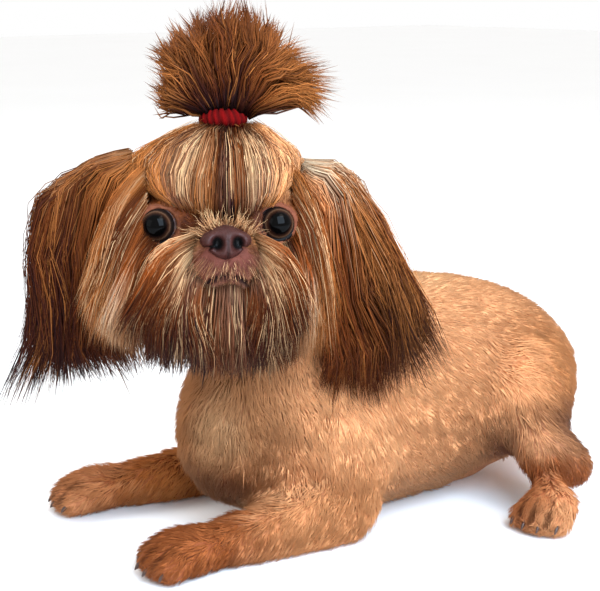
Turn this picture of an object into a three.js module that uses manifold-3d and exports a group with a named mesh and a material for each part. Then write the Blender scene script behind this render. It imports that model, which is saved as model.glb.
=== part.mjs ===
// A shih tzu at life size, lying on its belly with its head raised and turned to its left.
// Millimetres, +Z up. The animal faces -Y and its left side is +X. The coat is included in every outline.
import * as THREE from "three";
import { mergeVertices } from "three/addons/utils/BufferGeometryUtils.js";
import Module from "manifold-3d";

const wasm = await Module();
wasm.setup();

// Driving dimensions of the animal.
const CHEST_WIDTH = 114;
const CHEST_DEPTH = 130;
const UPPER_ARM = 60;
const FOREARM = 86;
const FOREPAW = { length: 53, width: 41, height: 25 };
const HIND_PAW = { length: 44, width: 37, height: 25 };
const SKULL = { width: 84, length: 88, height: 92, square: 2.4 };
const EYE = { radius: 10.2, apart: 54, width: 17.4, height: 16 };
const NOSE = { width: 25, height: 15, depth: 14 };
const MOUTH = { width: 27, below: 20.5, drop: 3.5 };
const EAR_PLANE = 41; // how far to the side the ears begin
const EAR_FRONT = 18; // how far forward of the skull's middle they end
const BAND = { radius: 8.5, thick: 4.6, height: 57 };
const TAIL = { root: 15, tip: 6 };

// Pose.
const HEAD_AT = vec(0.5, -60, 160.5);
const HEAD_TURN = rad(56);
const HEAD_LIFT = rad(7);

const LONG_LOCK = 70; // locks longer than this have one more bend
const LOCK_FLAT = 0.3; // a lock's thickness as a share of its width

const GAP = 0.3; // kept between neighbouring pieces
const SINK = 1.2; // how far a resting surface would pass the floor before it is cut flat
const UP = vec(0, 0, 1);

const HEAD = new THREE.Matrix4()
  .makeRotationFromEuler(new THREE.Euler(-HEAD_LIFT, 0, HEAD_TURN, "ZYX"))
  .setPosition(HEAD_AT);

function rad(degrees) {
  return (degrees * Math.PI) / 180;
}

function vec(x = 0, y = 0, z = 0) {
  return new THREE.Vector3(x, y, z);
}

// A point given in the head's own frame: from the middle of the skull, its left is +X and its face
// looks along -Y.
function onHead(x, y, z) {
  return vec(x, y, z).applyMatrix4(HEAD);
}

// A direction given in the head's own frame.
function alongHead(x, y, z) {
  return onHead(x, y, z).sub(HEAD_AT);
}

// A number between 0 and 1 that looks random and is the same each time.
function chance(seed) {
  const wave = Math.sin(seed * 127.1 + 311.7) * 43758.5453;
  return wave - Math.floor(wave);
}

// The closed body of a geometry, with its seams and poles merged.
function solidOf(geometry) {
  const bare = geometry.clone();
  bare.deleteAttribute("normal");
  bare.deleteAttribute("uv");
  const merged = mergeVertices(bare, 1e-3);
  return new wasm.Manifold(
    new wasm.Mesh({
      numProp: 3,
      vertProperties: merged.attributes.position.array,
      triVerts: new Uint32Array(merged.index.array),
    }),
  );
}

function join(solids) {
  return wasm.Manifold.union(solids);
}

function cut(solid, ...others) {
  return others.reduce((rest, other) => rest.subtract(other), solid);
}

// The largest closed surface of a solid, which drops loose scraps and fills sealed hollows.
function largest(solid) {
  return solid.decompose().reduce((best, piece) => (piece.volume() > best.volume() ? piece : best));
}

// How full a swept body is at a share of its length: a quarter round at each end.
function roundedEnd(share, cap) {
  const inset = Math.min(share, 1 - share) / cap;
  return inset >= 1 ? 1 : Math.sqrt(1 - (1 - inset) ** 2);
}

// A station of a swept body: its centre, and how far the surface lies to the side, above and below.
function station(at, side, over = side, under = over) {
  return { at, reach: vec(side, over, under) };
}

// A closed body with round ends, swept smoothly through its stations. Its width runs along aside.
function sweep(stations, { sides = 14, rings = 10, cap = 0.16, grow = 0, aside } = {}) {
  const line = new THREE.CatmullRomCurve3(stations.map((s) => s.at));
  const reach = new THREE.CatmullRomCurve3(stations.map((s) => s.reach));
  const shape = new THREE.SphereGeometry(1, sides, rings);
  const spots = shape.attributes.position;
  const spot = vec();
  for (let i = 0; i < spots.count; i++) {
    spot.fromBufferAttribute(spots, i);
    const share = Math.acos(THREE.MathUtils.clamp(spot.y, -1, 1)) / Math.PI;
    const round = roundedEnd(share, cap);
    const along = line.getTangent(share);
    const across = UP.clone().cross(along);
    if (aside) across.copy(aside).addScaledVector(along, -aside.dot(along));
    across.normalize();
    const above = along.clone().cross(across);
    const size = reach.getPoint(share);
    const ring = Math.hypot(spot.x, spot.z) || 1;
    const lift = (spot.z / ring) * ((spot.z > 0 ? size.y : size.z) * round + grow);
    const side = (spot.x / ring) * (size.x * round + grow);
    const ends = grow * -spot.y;
    const centre = line.getPoint(share);
    const edge = spot.x * spot.x + spot.z * spot.z < 1e-9 ? 0 : 1;
    spot.copy(centre).addScaledVector(across, side * edge).addScaledVector(above, lift * edge);
    spot.addScaledVector(along, ends);
    spots.setXYZ(i, spot.x, spot.y, spot.z);
  }
  return solidOf(shape);
}

// An ellipsoid in the head's frame.
function headBall([x, y, z], rx, ry = rx, rz = rx, { grow = 0, sides = 16, tilt = 0 } = {}) {
  const shape = new THREE.SphereGeometry(1, sides, Math.round(sides * 0.75));
  shape.scale(rx + grow, ry + grow, rz + grow).rotateY(tilt).translate(x, y, z).applyMatrix4(HEAD);
  return solidOf(shape);
}

// Trunk: the barrel of the chest and belly, which rests on the floor.
function trunk(grow = 0) {
  const half = CHEST_WIDTH / 2;
  const rows = [
    // how far back, to the left, bottom, top, half width
    [-76, -15, 50, 90, half * 0.3],
    [-56, -11, 18, 112, half * 0.7],
    [-15, -5, -SINK, CHEST_DEPTH, half * 0.95],
    [30, 0, -SINK, CHEST_DEPTH, half],
    [75, 2, -SINK, CHEST_DEPTH * 0.98, half],
    [118, 3, -SINK, CHEST_DEPTH * 0.91, half * 0.97],
    [152, 3, 4, CHEST_DEPTH * 0.8, half * 0.88],
    [178, 2, 18, CHEST_DEPTH * 0.64, half * 0.64],
    [192, 2, 34, CHEST_DEPTH * 0.5, half * 0.32],
  ];
  const stations = rows.map(([y, x, low, high, wide]) =>
    station(vec(x, y, (low + high) / 2), wide, (high - low) / 2),
  );
  return sweep(stations, { sides: 22, rings: 16, cap: 0.08, grow });
}

function neck(grow = 0) {
  const stations = [
    station(vec(-2, 14, 84), 44, 44),
    station(vec(-3, -20, 106), 44, 45),
    station(vec(-2, -44, 130), 40, 40),
    station(vec(0, -54, 150), 32, 32),
  ];
  return sweep(stations, { sides: 14, rings: 6, grow, aside: vec(1, 0, 0) });
}

// Forelegs, flat on the floor from the elbow on. Side is 1 for the left and -1 for the right.
const FORELEGS = [
  { name: "left", side: 1, elbow: vec(49, 6, 18), toward: rad(-14), paw: rad(-13) },
  { name: "right", side: -1, elbow: vec(-54, 20, 17), toward: rad(-14), paw: rad(-24) },
];

function ahead(angle) {
  return vec(Math.sin(angle), -Math.cos(angle), 0);
}

function wristOf(leg) {
  return leg.elbow.clone().addScaledVector(ahead(leg.toward), FOREARM).setZ(13);
}

function foreleg(leg, grow = 0) {
  const wrist = wristOf(leg);
  const middle = leg.elbow.clone().lerp(wrist, 0.5).setZ(16);
  const shoulder = leg.elbow.clone().add(vec(-10 * leg.side, -24, UPPER_ARM));
  const upper = [
    station(shoulder, 20, 26),
    station(shoulder.clone().lerp(leg.elbow, 0.5), 20, 27),
    station(leg.elbow.clone().setZ(22), 17, 22),
  ];
  const fore = [
    station(leg.elbow.clone().addScaledVector(ahead(leg.toward), -10), 14, 16, 19),
    station(middle, 15.5, 17, 16 + SINK),
    station(wrist, 14.5, 12.5, 13 + SINK),
    station(wrist.clone().lerp(middle, -0.3), 12, 11, 11),
  ];
  return join([
    sweep(upper, { grow, aside: vec(1, 0, 0), cap: 0.3, sides: 12, rings: 7 }),
    sweep(fore, { grow, cap: 0.2, sides: 12, rings: 8 }),
  ]);
}

// A furry foot: its sole, and four toes that spread from it.
function paw({ heel, angle, length, width, height }, grow = 0) {
  const aside = vec(Math.cos(angle), Math.sin(angle), 0);
  const at = (forward, sideways, up) =>
    heel.clone().addScaledVector(ahead(angle), forward).addScaledVector(aside, sideways).setZ(up);
  const middle = height / 2 - SINK;
  const sole = [
    station(at(0, 0, middle), width * 0.36, height * 0.46, height * 0.5),
    station(at(length * 0.45, 0, middle), width * 0.46, height * 0.5),
    station(at(length * 0.84, 0, middle * 0.8), width * 0.38, height * 0.38),
  ];
  const toes = [-1.5, -0.5, 0.5, 1.5].map((place) => {
    const reach = length * (0.82 - 0.06 * Math.abs(place) ** 1.5);
    const size = width * 0.16;
    const joints = [
      station(at(reach - 16, place * width * 0.22, size * 1.3), size, size * 1.1),
      station(at(reach, place * width * 0.24, size * 1.15), size * 1.1, size * 1.2),
      station(at(reach + 7, place * width * 0.24, size * 0.8), size * 0.8, size * 0.8),
    ];
    return sweep(joints, { sides: 6, rings: 4, cap: 0.4, grow });
  });
  return join([sweep(sole, { grow, cap: 0.35, sides: 10, rings: 6 }), ...toes]);
}

// Hind legs, folded beside the belly.
const HINDLEGS = [
  {
    name: "left",
    hip: vec(34, 138, 68),
    knee: vec(76, 86, 42),
    hock: vec(86, 134, 15),
    foot: rad(12),
  },
  {
    name: "right",
    hip: vec(-32, 138, 68),
    knee: vec(-72, 88, 42),
    hock: vec(-74, 140, 15),
    foot: rad(-12),
  },
];

function hindleg(leg, grow = 0) {
  const thigh = [
    station(leg.hip, 30, 38, 36),
    station(leg.hip.clone().lerp(leg.knee, 0.5), 28, 36),
    station(leg.knee, 21, 24),
  ];
  const shank = [
    station(leg.knee.clone().lerp(leg.hock, -0.1), 17, 19),
    station(leg.knee.clone().lerp(leg.hock, 0.5), 15.5, 17),
    station(leg.hock, 10, 11.5),
  ];
  return join([
    sweep(thigh, { grow, cap: 0.34, sides: 12, rings: 8 }),
    sweep(shank, { grow, cap: 0.3, sides: 10, rings: 6 }),
  ]);
}

function hindFoot(leg, grow = 0) {
  const heel = leg.hock.clone().addScaledVector(ahead(leg.foot), 32);
  const pastern = [
    station(leg.hock.clone().addScaledVector(ahead(leg.foot), -5), 10, 12),
    station(leg.hock.clone().lerp(heel, 0.5), 13, 13.5),
    station(heel, 14, 12),
  ];
  const foot = paw({ heel, angle: leg.foot, ...HIND_PAW }, grow);
  return join([sweep(pastern, { grow, cap: 0.3, sides: 12, rings: 6 }), foot]);
}

// Tail: relaxed, round behind the right hip, with its end on the floor.
function tailLine() {
  return [vec(0, 178, 76), vec(-6, 204, 56), vec(-20, 216, 32), vec(-44, 212, 15), vec(-68, 198, 9)];
}

function tail(grow = 0) {
  const bends = tailLine();
  const thin = (TAIL.root - TAIL.tip) / (bends.length - 1);
  return sweep(
    bends.map((at, i) => station(at, TAIL.root - thin * i)),
    { sides: 8, rings: 9, cap: 0.12, grow },
  );
}

// Where the skull's form stands out or draws in: the bearing of the middle to the left and up, then
// how far out it goes and how wide it is.
const HEAD_BUMPS = [
  { name: "muzzle", left: 0, up: -14, out: 9, wide: 22 },
  { name: "left flew", left: 22, up: -26, out: 7, wide: 14 },
  { name: "right flew", left: -22, up: -26, out: 7, wide: 14 },
  { name: "stop", left: 0, up: 18, out: -4, wide: 12 },
  { name: "left brow", left: 32, up: 32, out: 3, wide: 15 },
  { name: "right brow", left: -32, up: 32, out: 3, wide: 15 },
  { name: "left cheek", left: 64, up: -14, out: 6, wide: 24 },
  { name: "right cheek", left: -64, up: -14, out: 6, wide: 24 },
  { name: "chin", left: 0, up: -48, out: 5, wide: 17 },
];

function bearing(left, up) {
  return vec(
    Math.sin(rad(left)) * Math.cos(rad(up)),
    -Math.cos(rad(left)) * Math.cos(rad(up)),
    Math.sin(rad(up)),
  );
}

// How far the head's surface lies from the middle of the skull, in a direction of the head's frame.
function headReach(way) {
  const { width, length, height, square } = SKULL;
  const parts = [way.x / (width / 2), way.y / (length / 2), way.z / (height / 2)];
  let reach = parts.reduce((sum, part) => sum + Math.abs(part) ** square, 0) ** (-1 / square);
  for (const bump of HEAD_BUMPS) {
    const off = way.angleTo(bearing(bump.left, bump.up)) / rad(bump.wide);
    reach += bump.out * Math.exp(-off * off);
  }
  return reach;
}

function headForm(grow = 0) {
  const shape = new THREE.SphereGeometry(1, 24, 16);
  const spots = shape.attributes.position;
  const way = vec();
  for (let i = 0; i < spots.count; i++) {
    way.fromBufferAttribute(spots, i).normalize();
    way.multiplyScalar(headReach(way) + grow);
    spots.setXYZ(i, way.x, way.y, way.z);
  }
  return solidOf(shape.applyMatrix4(HEAD));
}

// Eyes: a ball each, in a socket with lids that leave a wide almond open.
const EYES = [
  { name: "left", side: 1 },
  { name: "right", side: -1 },
];

function eyeMiddle(side) {
  return [(side * EYE.apart) / 2, -30, 8];
}

function eyeball(side, grow = 0) {
  return headBall(eyeMiddle(side), EYE.radius, EYE.radius, EYE.radius, { grow, sides: 12 });
}

function lids(side) {
  const rim = headBall(eyeMiddle(side), EYE.radius + 2, EYE.radius + 1.6, EYE.radius + 2, { sides: 9 });
  const opening = new THREE.SphereGeometry(1, 9, 7)
    .scale(EYE.width / 2, 16, EYE.height / 2)
    .rotateY(rad(6 * side))
    .rotateZ(rad(8 * side))
    .translate(...eyeMiddle(side))
    .translate(0, -10, 0)
    .applyMatrix4(HEAD);
  return { rim, opening: solidOf(opening) };
}

// Nose leather with its two nostrils.
function noseForm(grow = 0) {
  const { width, height, depth } = NOSE;
  return join([
    headBall([0, -47, 0.5], width / 2, depth * 0.72, height / 2, { grow, sides: 10 }),
    headBall([0, -46, -3], width * 0.32, depth * 0.72, height * 0.45, { grow, sides: 7 }),
  ]);
}

function nostril(side) {
  const stations = [
    station(onHead(side * 3.6, -59, -0.6), 2, 2.4),
    station(onHead(side * 5.6, -52, -0.4), 1.8, 2),
    station(onHead(side * 10.5, -54, -2.4), 0.9, 1),
  ];
  return sweep(stations, { sides: 5, rings: 4, cap: 0.3 });
}

// A groove along points of the head's frame, for the mouth and the cleft under the nose.
function groove(points, wide) {
  return sweep(
    points.map(([x, y, z]) => station(onHead(x, y, z), wide)),
    { sides: 5, rings: 6, cap: 0.1 },
  );
}

function mouthGroove() {
  const half = MOUTH.width / 2;
  const line = [-1, -0.5, 0, 0.5, 1].map((share) => {
    const way = bearing(share * 26, -24.5);
    const down = -MOUTH.below - MOUTH.drop * share * share;
    return [share * half, way.y * headReach(way) + 0.3, down];
  });
  return groove(line, 1.1);
}

function cleftGroove() {
  const line = [-9, -13, -17].map((z) => [0, -headReach(vec(0, -50, z).normalize()) * 0.93, z]);
  return groove(line, 1);
}

// Hair drawn up over the crown to the band.
function crown(grow = 0) {
  const stations = [
    station(onHead(0, -3, 14), 39, 37),
    station(onHead(0, -3, 34), 38.5, 36),
    station(onHead(1, -3, 47), 29, 26),
    station(onHead(2, -4, BAND.height - 3), 10, 10),
    station(onHead(2, -4, BAND.height), 7, 7),
  ];
  return sweep(stations, { sides: 14, rings: 8, cap: 0.06, grow, aside: alongHead(1, 0, 0) });
}

const coat = new THREE.MeshStandardMaterial({ color: 0xd9a06a, roughness: 0.85, metalness: 0 });
const legs = new THREE.MeshStandardMaterial({ color: 0xb87745, roughness: 0.85, metalness: 0 });
const longHair = new THREE.MeshStandardMaterial({ color: 0x7a4a2c, roughness: 0.7, metalness: 0 });
const leather = new THREE.MeshStandardMaterial({ color: 0x3f2823, roughness: 0.4, metalness: 0 });
const eyes = new THREE.MeshStandardMaterial({ color: 0x24120c, roughness: 0.08, metalness: 0 });
const ribbon = new THREE.MeshStandardMaterial({ color: 0xb5121f, roughness: 0.8, metalness: 0 });

// A flat tapered lock of hair along a bend, with its flat side towards the face direction.
function lock({ root, bend, tip, width, face, blunt }) {
  const line = new THREE.QuadraticBezierCurve3(root, bend, tip);
  const shape = new THREE.ConeGeometry(1, 1, 4, root.distanceTo(tip) > LONG_LOCK ? 4 : 3);
  const spots = shape.attributes.position;
  const spot = vec();
  for (let i = 0; i < spots.count; i++) {
    spot.fromBufferAttribute(spots, i);
    const share = spot.y + 0.5;
    const full = (1 - share) ** blunt * (0.75 + 0.85 * share);
    const along = line.getTangent(share);
    const across = along.clone().cross(face).normalize();
    const outward = across.clone().cross(along);
    const ring = Math.hypot(spot.x, spot.z);
    const reach = ring > 1e-6 ? full / ring : 0;
    const side = spot.x * reach * (width / 2);
    const lift = spot.z * reach * (width / 2) * LOCK_FLAT;
    spot.copy(line.getPoint(share)).addScaledVector(across, side).addScaledVector(outward, lift);
    spots.setXYZ(i, spot.x, spot.y, spot.z);
  }
  return solidOf(shape);
}

// Locks side by side, from a line of roots to a line of tips, bulging away from a hub.
function fringe(hair) {
  const { roots, tips, hub, count, width, bulge = 0.12, turn = 0.5, sink = 2, blunt = 0.55, seed } = hair;
  const rootLine = new THREE.CatmullRomCurve3(roots.map((p) => onHead(...p)));
  const tipLine = new THREE.CatmullRomCurve3(tips.map((p) => onHead(...p)));
  const middle = onHead(...hub);
  return Array.from({ length: count }, (_, i) => {
    const vary = (k) => chance(seed * 17 + i * 3 + k) - 0.5;
    const root = rootLine.getPoint((i + 0.5 + 0.5 * vary(1)) / count);
    const aim = tipLine.getPoint((i + 0.5 + 0.7 * vary(2)) / count);
    const run = aim.sub(root).multiplyScalar(0.96 + 0.16 * vary(3));
    const tip = root.clone().add(run);
    const away = root.clone().lerp(tip, 0.5).sub(middle);
    away.addScaledVector(run, -away.dot(run) / run.lengthSq()).normalize();
    const bend = root.clone().lerp(tip, turn).addScaledVector(away, bulge * run.length());
    root.addScaledVector(away, -sink);
    return lock({ root, bend, tip, width: width * (1 + 0.3 * vary(4)), face: away, blunt });
  });
}

function mirrored(points) {
  return points.map(([x, y, z]) => [-x, y, z]);
}

// Hair of the head. Each entry is a fringe, in the head's frame: its roots, its tips and the hub it
// bulges from.
const BROW_HAIR = {
  roots: [
    [-38, -22, 22], [-26, -35, 26], [-10, -41, 29], [0, -42, 30], [10, -41, 29], [26, -35, 26],
    [38, -22, 22],
  ],
  tips: [[-7, -8, 55], [1, -12, 54], [10, -8, 55]],
  hub: [0, 0, 10],
  count: 6,
  width: 24,
  bulge: 0.17,
  seed: 1,
};
const BACK_HAIR = {
  roots: [
    [36, -14, 30], [37, 8, 28], [28, 30, 24], [0, 40, 20], [-28, 30, 24], [-37, 8, 28],
    [-36, -14, 30],
  ],
  tips: [[11, -5, 54], [10, 4, 53], [2, 7, 52], [-6, 4, 53], [-7, -5, 54]],
  hub: [0, 0, 10],
  count: 5,
  width: 34,
  bulge: 0.17,
  seed: 2,
};
const NOSE_FRILL = {
  roots: [[-10, -43, 5], [0, -45, 9], [10, -43, 5]],
  tips: [[-19, -50, 15], [-8, -54, 21], [0, -55, 23], [8, -54, 21], [19, -50, 15]],
  hub: [0, -20, 0],
  count: 4,
  width: 9,
  seed: 3,
};
const MOUSTACHE = {
  roots: [[7, -49, -7], [15, -47, -13], [25, -41, -15], [33, -33, -8]],
  tips: [[11, -56, -45], [25, -54, -52], [42, -45, -46], [54, -35, -30]],
  hub: [0, -10, 0],
  count: 4,
  width: 20,
  seed: 4,
};
const UPPER_MOUSTACHE = {
  roots: [[8, -50, -4], [16, -46, -8], [27, -39, -8], [35, -30, -2]],
  tips: [[14, -59, -33], [30, -56, -36], [46, -45, -27], [54, -33, -14]],
  hub: [0, -10, 0],
  count: 4,
  width: 15,
  seed: 5,
};
const BEARD = {
  roots: [[-26, -33, -30], [-12, -39, -33], [0, -41, -34], [12, -39, -33], [26, -33, -30]],
  tips: [[-36, -33, -56], [-17, -44, -63], [0, -47, -64], [17, -44, -63], [35, -33, -57]],
  hub: [0, -10, -20],
  count: 6,
  width: 20,
  seed: 6,
};
const UNDER_BEARD = {
  roots: [[-30, -20, -32], [-14, -26, -37], [14, -26, -37], [30, -20, -32]],
  tips: [[-38, -21, -52], [-16, -30, -60], [16, -30, -60], [36, -21, -54]],
  hub: [0, 10, -20],
  count: 3,
  width: 30,
  seed: 7,
};
const LEFT_CHEEK = {
  roots: [[37, -24, 14], [41, -22, 0], [41, -22, -14], [36, -22, -27]],
  tips: [[54, -30, -14], [57, -30, -30], [54, -29, -46], [42, -26, -56]],
  hub: [0, 0, -10],
  count: 5,
  width: 20,
  seed: 8,
};
const RIGHT_CHEEK = {
  roots: [[-37, -24, 14], [-41, -22, 0], [-41, -22, -14], [-36, -22, -27]],
  tips: [[-66, -27, -14], [-78, -26, -30], [-72, -27, -48], [-50, -26, -60]],
  hub: [0, 0, -10],
  count: 5,
  width: 26,
  seed: 9,
};
const RIGHT_UNDER_CHEEK = {
  roots: [[-40, -20, 4], [-42, -19, -10], [-38, -19, -24]],
  tips: [[-72, -21, -28], [-72, -21, -44], [-54, -21, -58]],
  hub: [0, 10, -10],
  count: 3,
  width: 26,
  seed: 10,
};

// Ear hair, over, in front of and behind the flap. The right ear's hair is blown a little outwards.
const EAR_HAIR = {
  right: [
    {
      roots: [[-45, 6, 37], [-62, 5, 37], [-79, 3, 26]],
      tips: [[-82, -2, -62], [-92, -8, -70], [-103, -11, -76]],
    },
    {
      roots: [[-46, -5, 28], [-60, -7, 21], [-72, -7, 4]],
      tips: [[-54, -12, -64], [-72, -12, -68], [-90, -12, -72]],
    },
    {
      roots: [[-46, 15, 27], [-60, 16, 22], [-72, 14, 4]],
      tips: [[-56, 10, -60], [-74, 8, -66], [-92, 4, -68]],
    },
  ],
  left: [
    {
      roots: [[45, 6, 36], [58, 5, 33], [72, 3, 16]],
      tips: [[90, -2, -62], [102, -8, -66], [112, -10, -62]],
    },
    {
      roots: [[46, -5, 28], [58, -7, 21], [68, -7, 4]],
      tips: [[50, -12, -78], [68, -13, -77], [92, -12, -70]],
    },
    { roots: [[46, 15, 27], [58, 16, 22], [68, 14, 4]], tips: [[54, 10, -72], [74, 8, -72], [96, 4, -66]] },
  ],
};
const EAR_LAYERS = [
  { hub: 0, count: 4, width: 31, bulge: 0.16, turn: 0.25 },
  { hub: 50, count: 5, width: 22, bulge: 0.1, turn: 0.5 },
  { hub: -36, count: 3, width: 32, bulge: 0.12, turn: 0.5 },
];

const TOPKNOT_HAIR = { hub: [3, -2, 50], width: 20, bulge: 0.14, sink: 1, blunt: 0.38 };

// Topknot: four fans of hair from the band, one behind the other.
const TOPKNOT_FANS = [
  {
    roots: [[-3, -9, 60], [2, -10, 61], [8, -9, 60]],
    tips: [[-24, -22, 66], [-20, -26, 84], [4, -28, 94], [26, -26, 90], [42, -20, 68]],
    count: 4,
  },
  {
    roots: [[-5, -6, 60], [2, -7, 61], [9, -6, 60]],
    tips: [
      [-34, -9, 63], [-39, -8, 86], [-27, -8, 106], [-3, -8, 116], [20, -8, 109], [42, -8, 98],
      [64, -8, 74], [50, -8, 57],
    ],
    count: 9,
  },
  {
    roots: [[-5, -2, 60], [2, -2, 61], [9, -2, 60]],
    tips: [[-32, 4, 68], [-30, 5, 92], [-6, 6, 108], [22, 6, 104], [46, 5, 88], [52, 4, 66]],
    count: 6,
  },
  {
    roots: [[-4, 3, 60], [2, 4, 61], [8, 3, 60]],
    tips: [[-24, 18, 66], [-18, 22, 86], [8, 24, 96], [32, 21, 86], [40, 17, 66]],
    count: 4,
  },
];

// The leather flap of an ear, hollowed on its inner side near the root.
function earFlap(side) {
  const stations = [
    station(onHead(side * 34, 6, 24), 13, 5),
    station(onHead(side * 57, 5, 32), 19, 3.5),
    station(onHead(side * 75, 3, 12), 19, 3),
    station(onHead(side * 79, 1, -26), 8, 2.5),
  ];
  const flap = sweep(stations, { sides: 10, rings: 8, cap: 0.2, aside: alongHead(0, side, 0) });
  return flap.subtract(headBall([side * 54, 2, 26], 9, 11, 4, { sides: 7 }));
}

function earHair(name, side) {
  return EAR_LAYERS.flatMap((layer, k) =>
    fringe({ ...EAR_HAIR[name][k], ...layer, hub: [side * 34, layer.hub, -24], seed: 20 + k + 3 * side }),
  );
}

function topknotCore(grow = 0) {
  const stations = [
    station(onHead(2, -4, 54), 6.5, 6.5),
    station(onHead(2, -4, 63), 7.5, 7.5),
    station(onHead(3, -3, 74), 17, 13),
    station(onHead(6, -2, 86), 20, 14),
    station(onHead(7, -1, 92), 10, 8),
  ];
  return sweep(stations, { sides: 12, rings: 8, cap: 0.1, grow, aside: alongHead(1, 0, 0) });
}

function band(grow = 0) {
  const shape = new THREE.TorusGeometry(BAND.radius, BAND.thick + grow, 7, 12)
    .translate(2, -4, BAND.height)
    .applyMatrix4(HEAD);
  return solidOf(shape);
}

// Plume of the tail, in world places: along the outer, inner and upper side of the tail.
const TAIL_HAIR = [
  {
    tips: [[0, 204, 40], [-18, 232, 18], [-46, 238, 5], [-82, 222, 4], [-104, 196, 4]],
    hub: [-30, 190, 60],
    count: 3,
  },
  {
    tips: [[-16, 196, 34], [-30, 204, 10], [-48, 190, 4], [-76, 178, 4], [-100, 180, 4]],
    hub: [-30, 260, 40],
    count: 3,
  },
  {
    tips: [[-10, 214, 64], [-28, 230, 40], [-56, 226, 20], [-86, 206, 12], [-106, 188, 8]],
    hub: [-30, 190, 0],
    count: 2,
  },
];

function tailHair() {
  const toHead = HEAD.clone().invert();
  const place = ([x, y, z]) => vec(x, y, z).applyMatrix4(toHead).toArray();
  const roots = tailLine().map((p) => place([p.x, p.y, p.z + 1]));
  return TAIL_HAIR.flatMap(({ tips, hub, count }, k) =>
    fringe({ roots, tips: tips.map(place), hub: place(hub), count, width: 26, sink: 0, seed: 40 + k }),
  );
}

const FLOOR = solidOf(new THREE.BoxGeometry(900, 900, 100).translate(0, 0, -50));

// Keeps what lies beyond a plane square to a direction of the head's frame.
function beyond(solid, way, distance) {
  const normal = alongHead(...way);
  return solid.trimByPlane(normal.toArray(), normal.dot(HEAD_AT) + distance);
}

function meshOf(name, solid, material) {
  const made = largest(solid.subtract(FLOOR)).getMesh();
  const geometry = new THREE.BufferGeometry();
  geometry.setAttribute("position", new THREE.BufferAttribute(made.vertProperties, 3));
  geometry.setIndex(new THREE.BufferAttribute(made.triVerts, 1));
  geometry.computeVertexNormals();
  const mesh = new THREE.Mesh(geometry, material);
  mesh.name = name;
  return mesh;
}

const body = new THREE.Group();
body.add(meshOf("torso", trunk(), coat));
body.add(meshOf("neck", cut(neck(), trunk(GAP), headForm(GAP)), coat));
for (const leg of FORELEGS) {
  const foot = { heel: wristOf(leg), angle: leg.paw, ...FOREPAW };
  body.add(meshOf(`foreleg_${leg.name}`, cut(foreleg(leg), trunk(GAP), neck(GAP)), legs));
  body.add(meshOf(`forepaw_${leg.name}`, cut(paw(foot), foreleg(leg, GAP), trunk(GAP)), legs));
}
for (const leg of HINDLEGS) {
  body.add(meshOf(`hindleg_${leg.name}`, cut(hindleg(leg), trunk(GAP)), coat));
  body.add(meshOf(`hindfoot_${leg.name}`, cut(hindFoot(leg), hindleg(leg, GAP), trunk(GAP)), legs));
}
const tailForm = join([tail(), ...tailHair()]);
body.add(meshOf("tail", cut(tailForm, trunk(GAP), ...HINDLEGS.map((leg) => hindleg(leg, GAP))), longHair));

// The skull with its lids, mouth, and the stubs that the ears grow from.
function skullForm() {
  const stubs = EYES.map(({ side }) => headBall([side * 30, 6, 24], 10.8, 13, 8, { sides: 8 }));
  let skull = join([headForm(), crown(), ...stubs]);
  for (const { side } of EYES) {
    const { rim, opening } = lids(side);
    skull = cut(skull.add(rim), opening, eyeball(side, GAP));
  }
  return cut(skull, mouthGroove(), cleftGroove());
}

// Keeps the hair of the face in front of the ears, and the hair of the crown between them.
function headHair() {
  const bothSides = [MOUSTACHE, UPPER_MOUSTACHE].flatMap((hair) => [
    hair,
    { ...hair, roots: mirrored(hair.roots), tips: mirrored(hair.tips), seed: hair.seed + 50 },
  ]);
  const oneSided = [NOSE_FRILL, BEARD, UNDER_BEARD, LEFT_CHEEK, RIGHT_CHEEK, RIGHT_UNDER_CHEEK];
  const face = join([...bothSides, ...oneSided].flatMap((hair) => fringe(hair)));
  const top = join([BROW_HAIR, BACK_HAIR].flatMap((hair) => fringe(hair)));
  return join([
    beyond(cut(face, neck(GAP), trunk(GAP)), [0, -1, 0], EAR_FRONT + GAP / 2),
    beyond(beyond(top, [1, 0, 0], GAP / 2 - EAR_PLANE), [-1, 0, 0], GAP / 2 - EAR_PLANE),
  ]);
}

const eyeSockets = EYES.map(({ side }) => eyeball(side, GAP));
const neighbours = [trunk(GAP), noseForm(GAP), band(GAP), topknotCore(GAP), ...eyeSockets];
body.add(meshOf("head", cut(join([skullForm(), headHair()]), ...neighbours), coat));
body.add(meshOf("nose", cut(noseForm(), nostril(1), nostril(-1)), leather));
for (const { name, side } of EYES) {
  body.add(meshOf(`eye_${name}`, eyeball(side), eyes));
  let ear = join([earFlap(side), ...earHair(name, side)]);
  ear = beyond(beyond(ear, [side, 0, 0], EAR_PLANE + GAP / 2), [0, 1, 0], GAP / 2 - EAR_FRONT);
  ear = cut(ear, headForm(GAP), neck(GAP), trunk(GAP), ...FORELEGS.map((leg) => foreleg(leg, GAP)));
  body.add(meshOf(`ear_${name}`, ear, longHair));
}
const fans = TOPKNOT_FANS.flatMap((fan, k) => fringe({ ...TOPKNOT_HAIR, ...fan, seed: 60 + k }));
const topknot = join([topknotCore(), ...fans]);
body.add(meshOf("topknot_band", cut(band(), crown(GAP), topknotCore(GAP)), ribbon));
body.add(meshOf("topknot", cut(topknot, band(GAP), crown(GAP)), longHair));

const box = new THREE.Box3().setFromObject(body);
body.position.set(-(box.min.x + box.max.x) / 2, -(box.min.y + box.max.y) / 2, -box.min.z);

export default body;
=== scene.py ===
"""A shih tzu at life size, lying on its belly with its head turned to its left.

One skin carries the coat, which is solid tufts and locks. The eyes with their lids, the nose leather,
the claws and the gathered band of the topknot are pieces of their own.
"""
import logging
import math
from dataclasses import dataclass, field
from enum import Enum
from typing import Callable, Sequence

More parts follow.
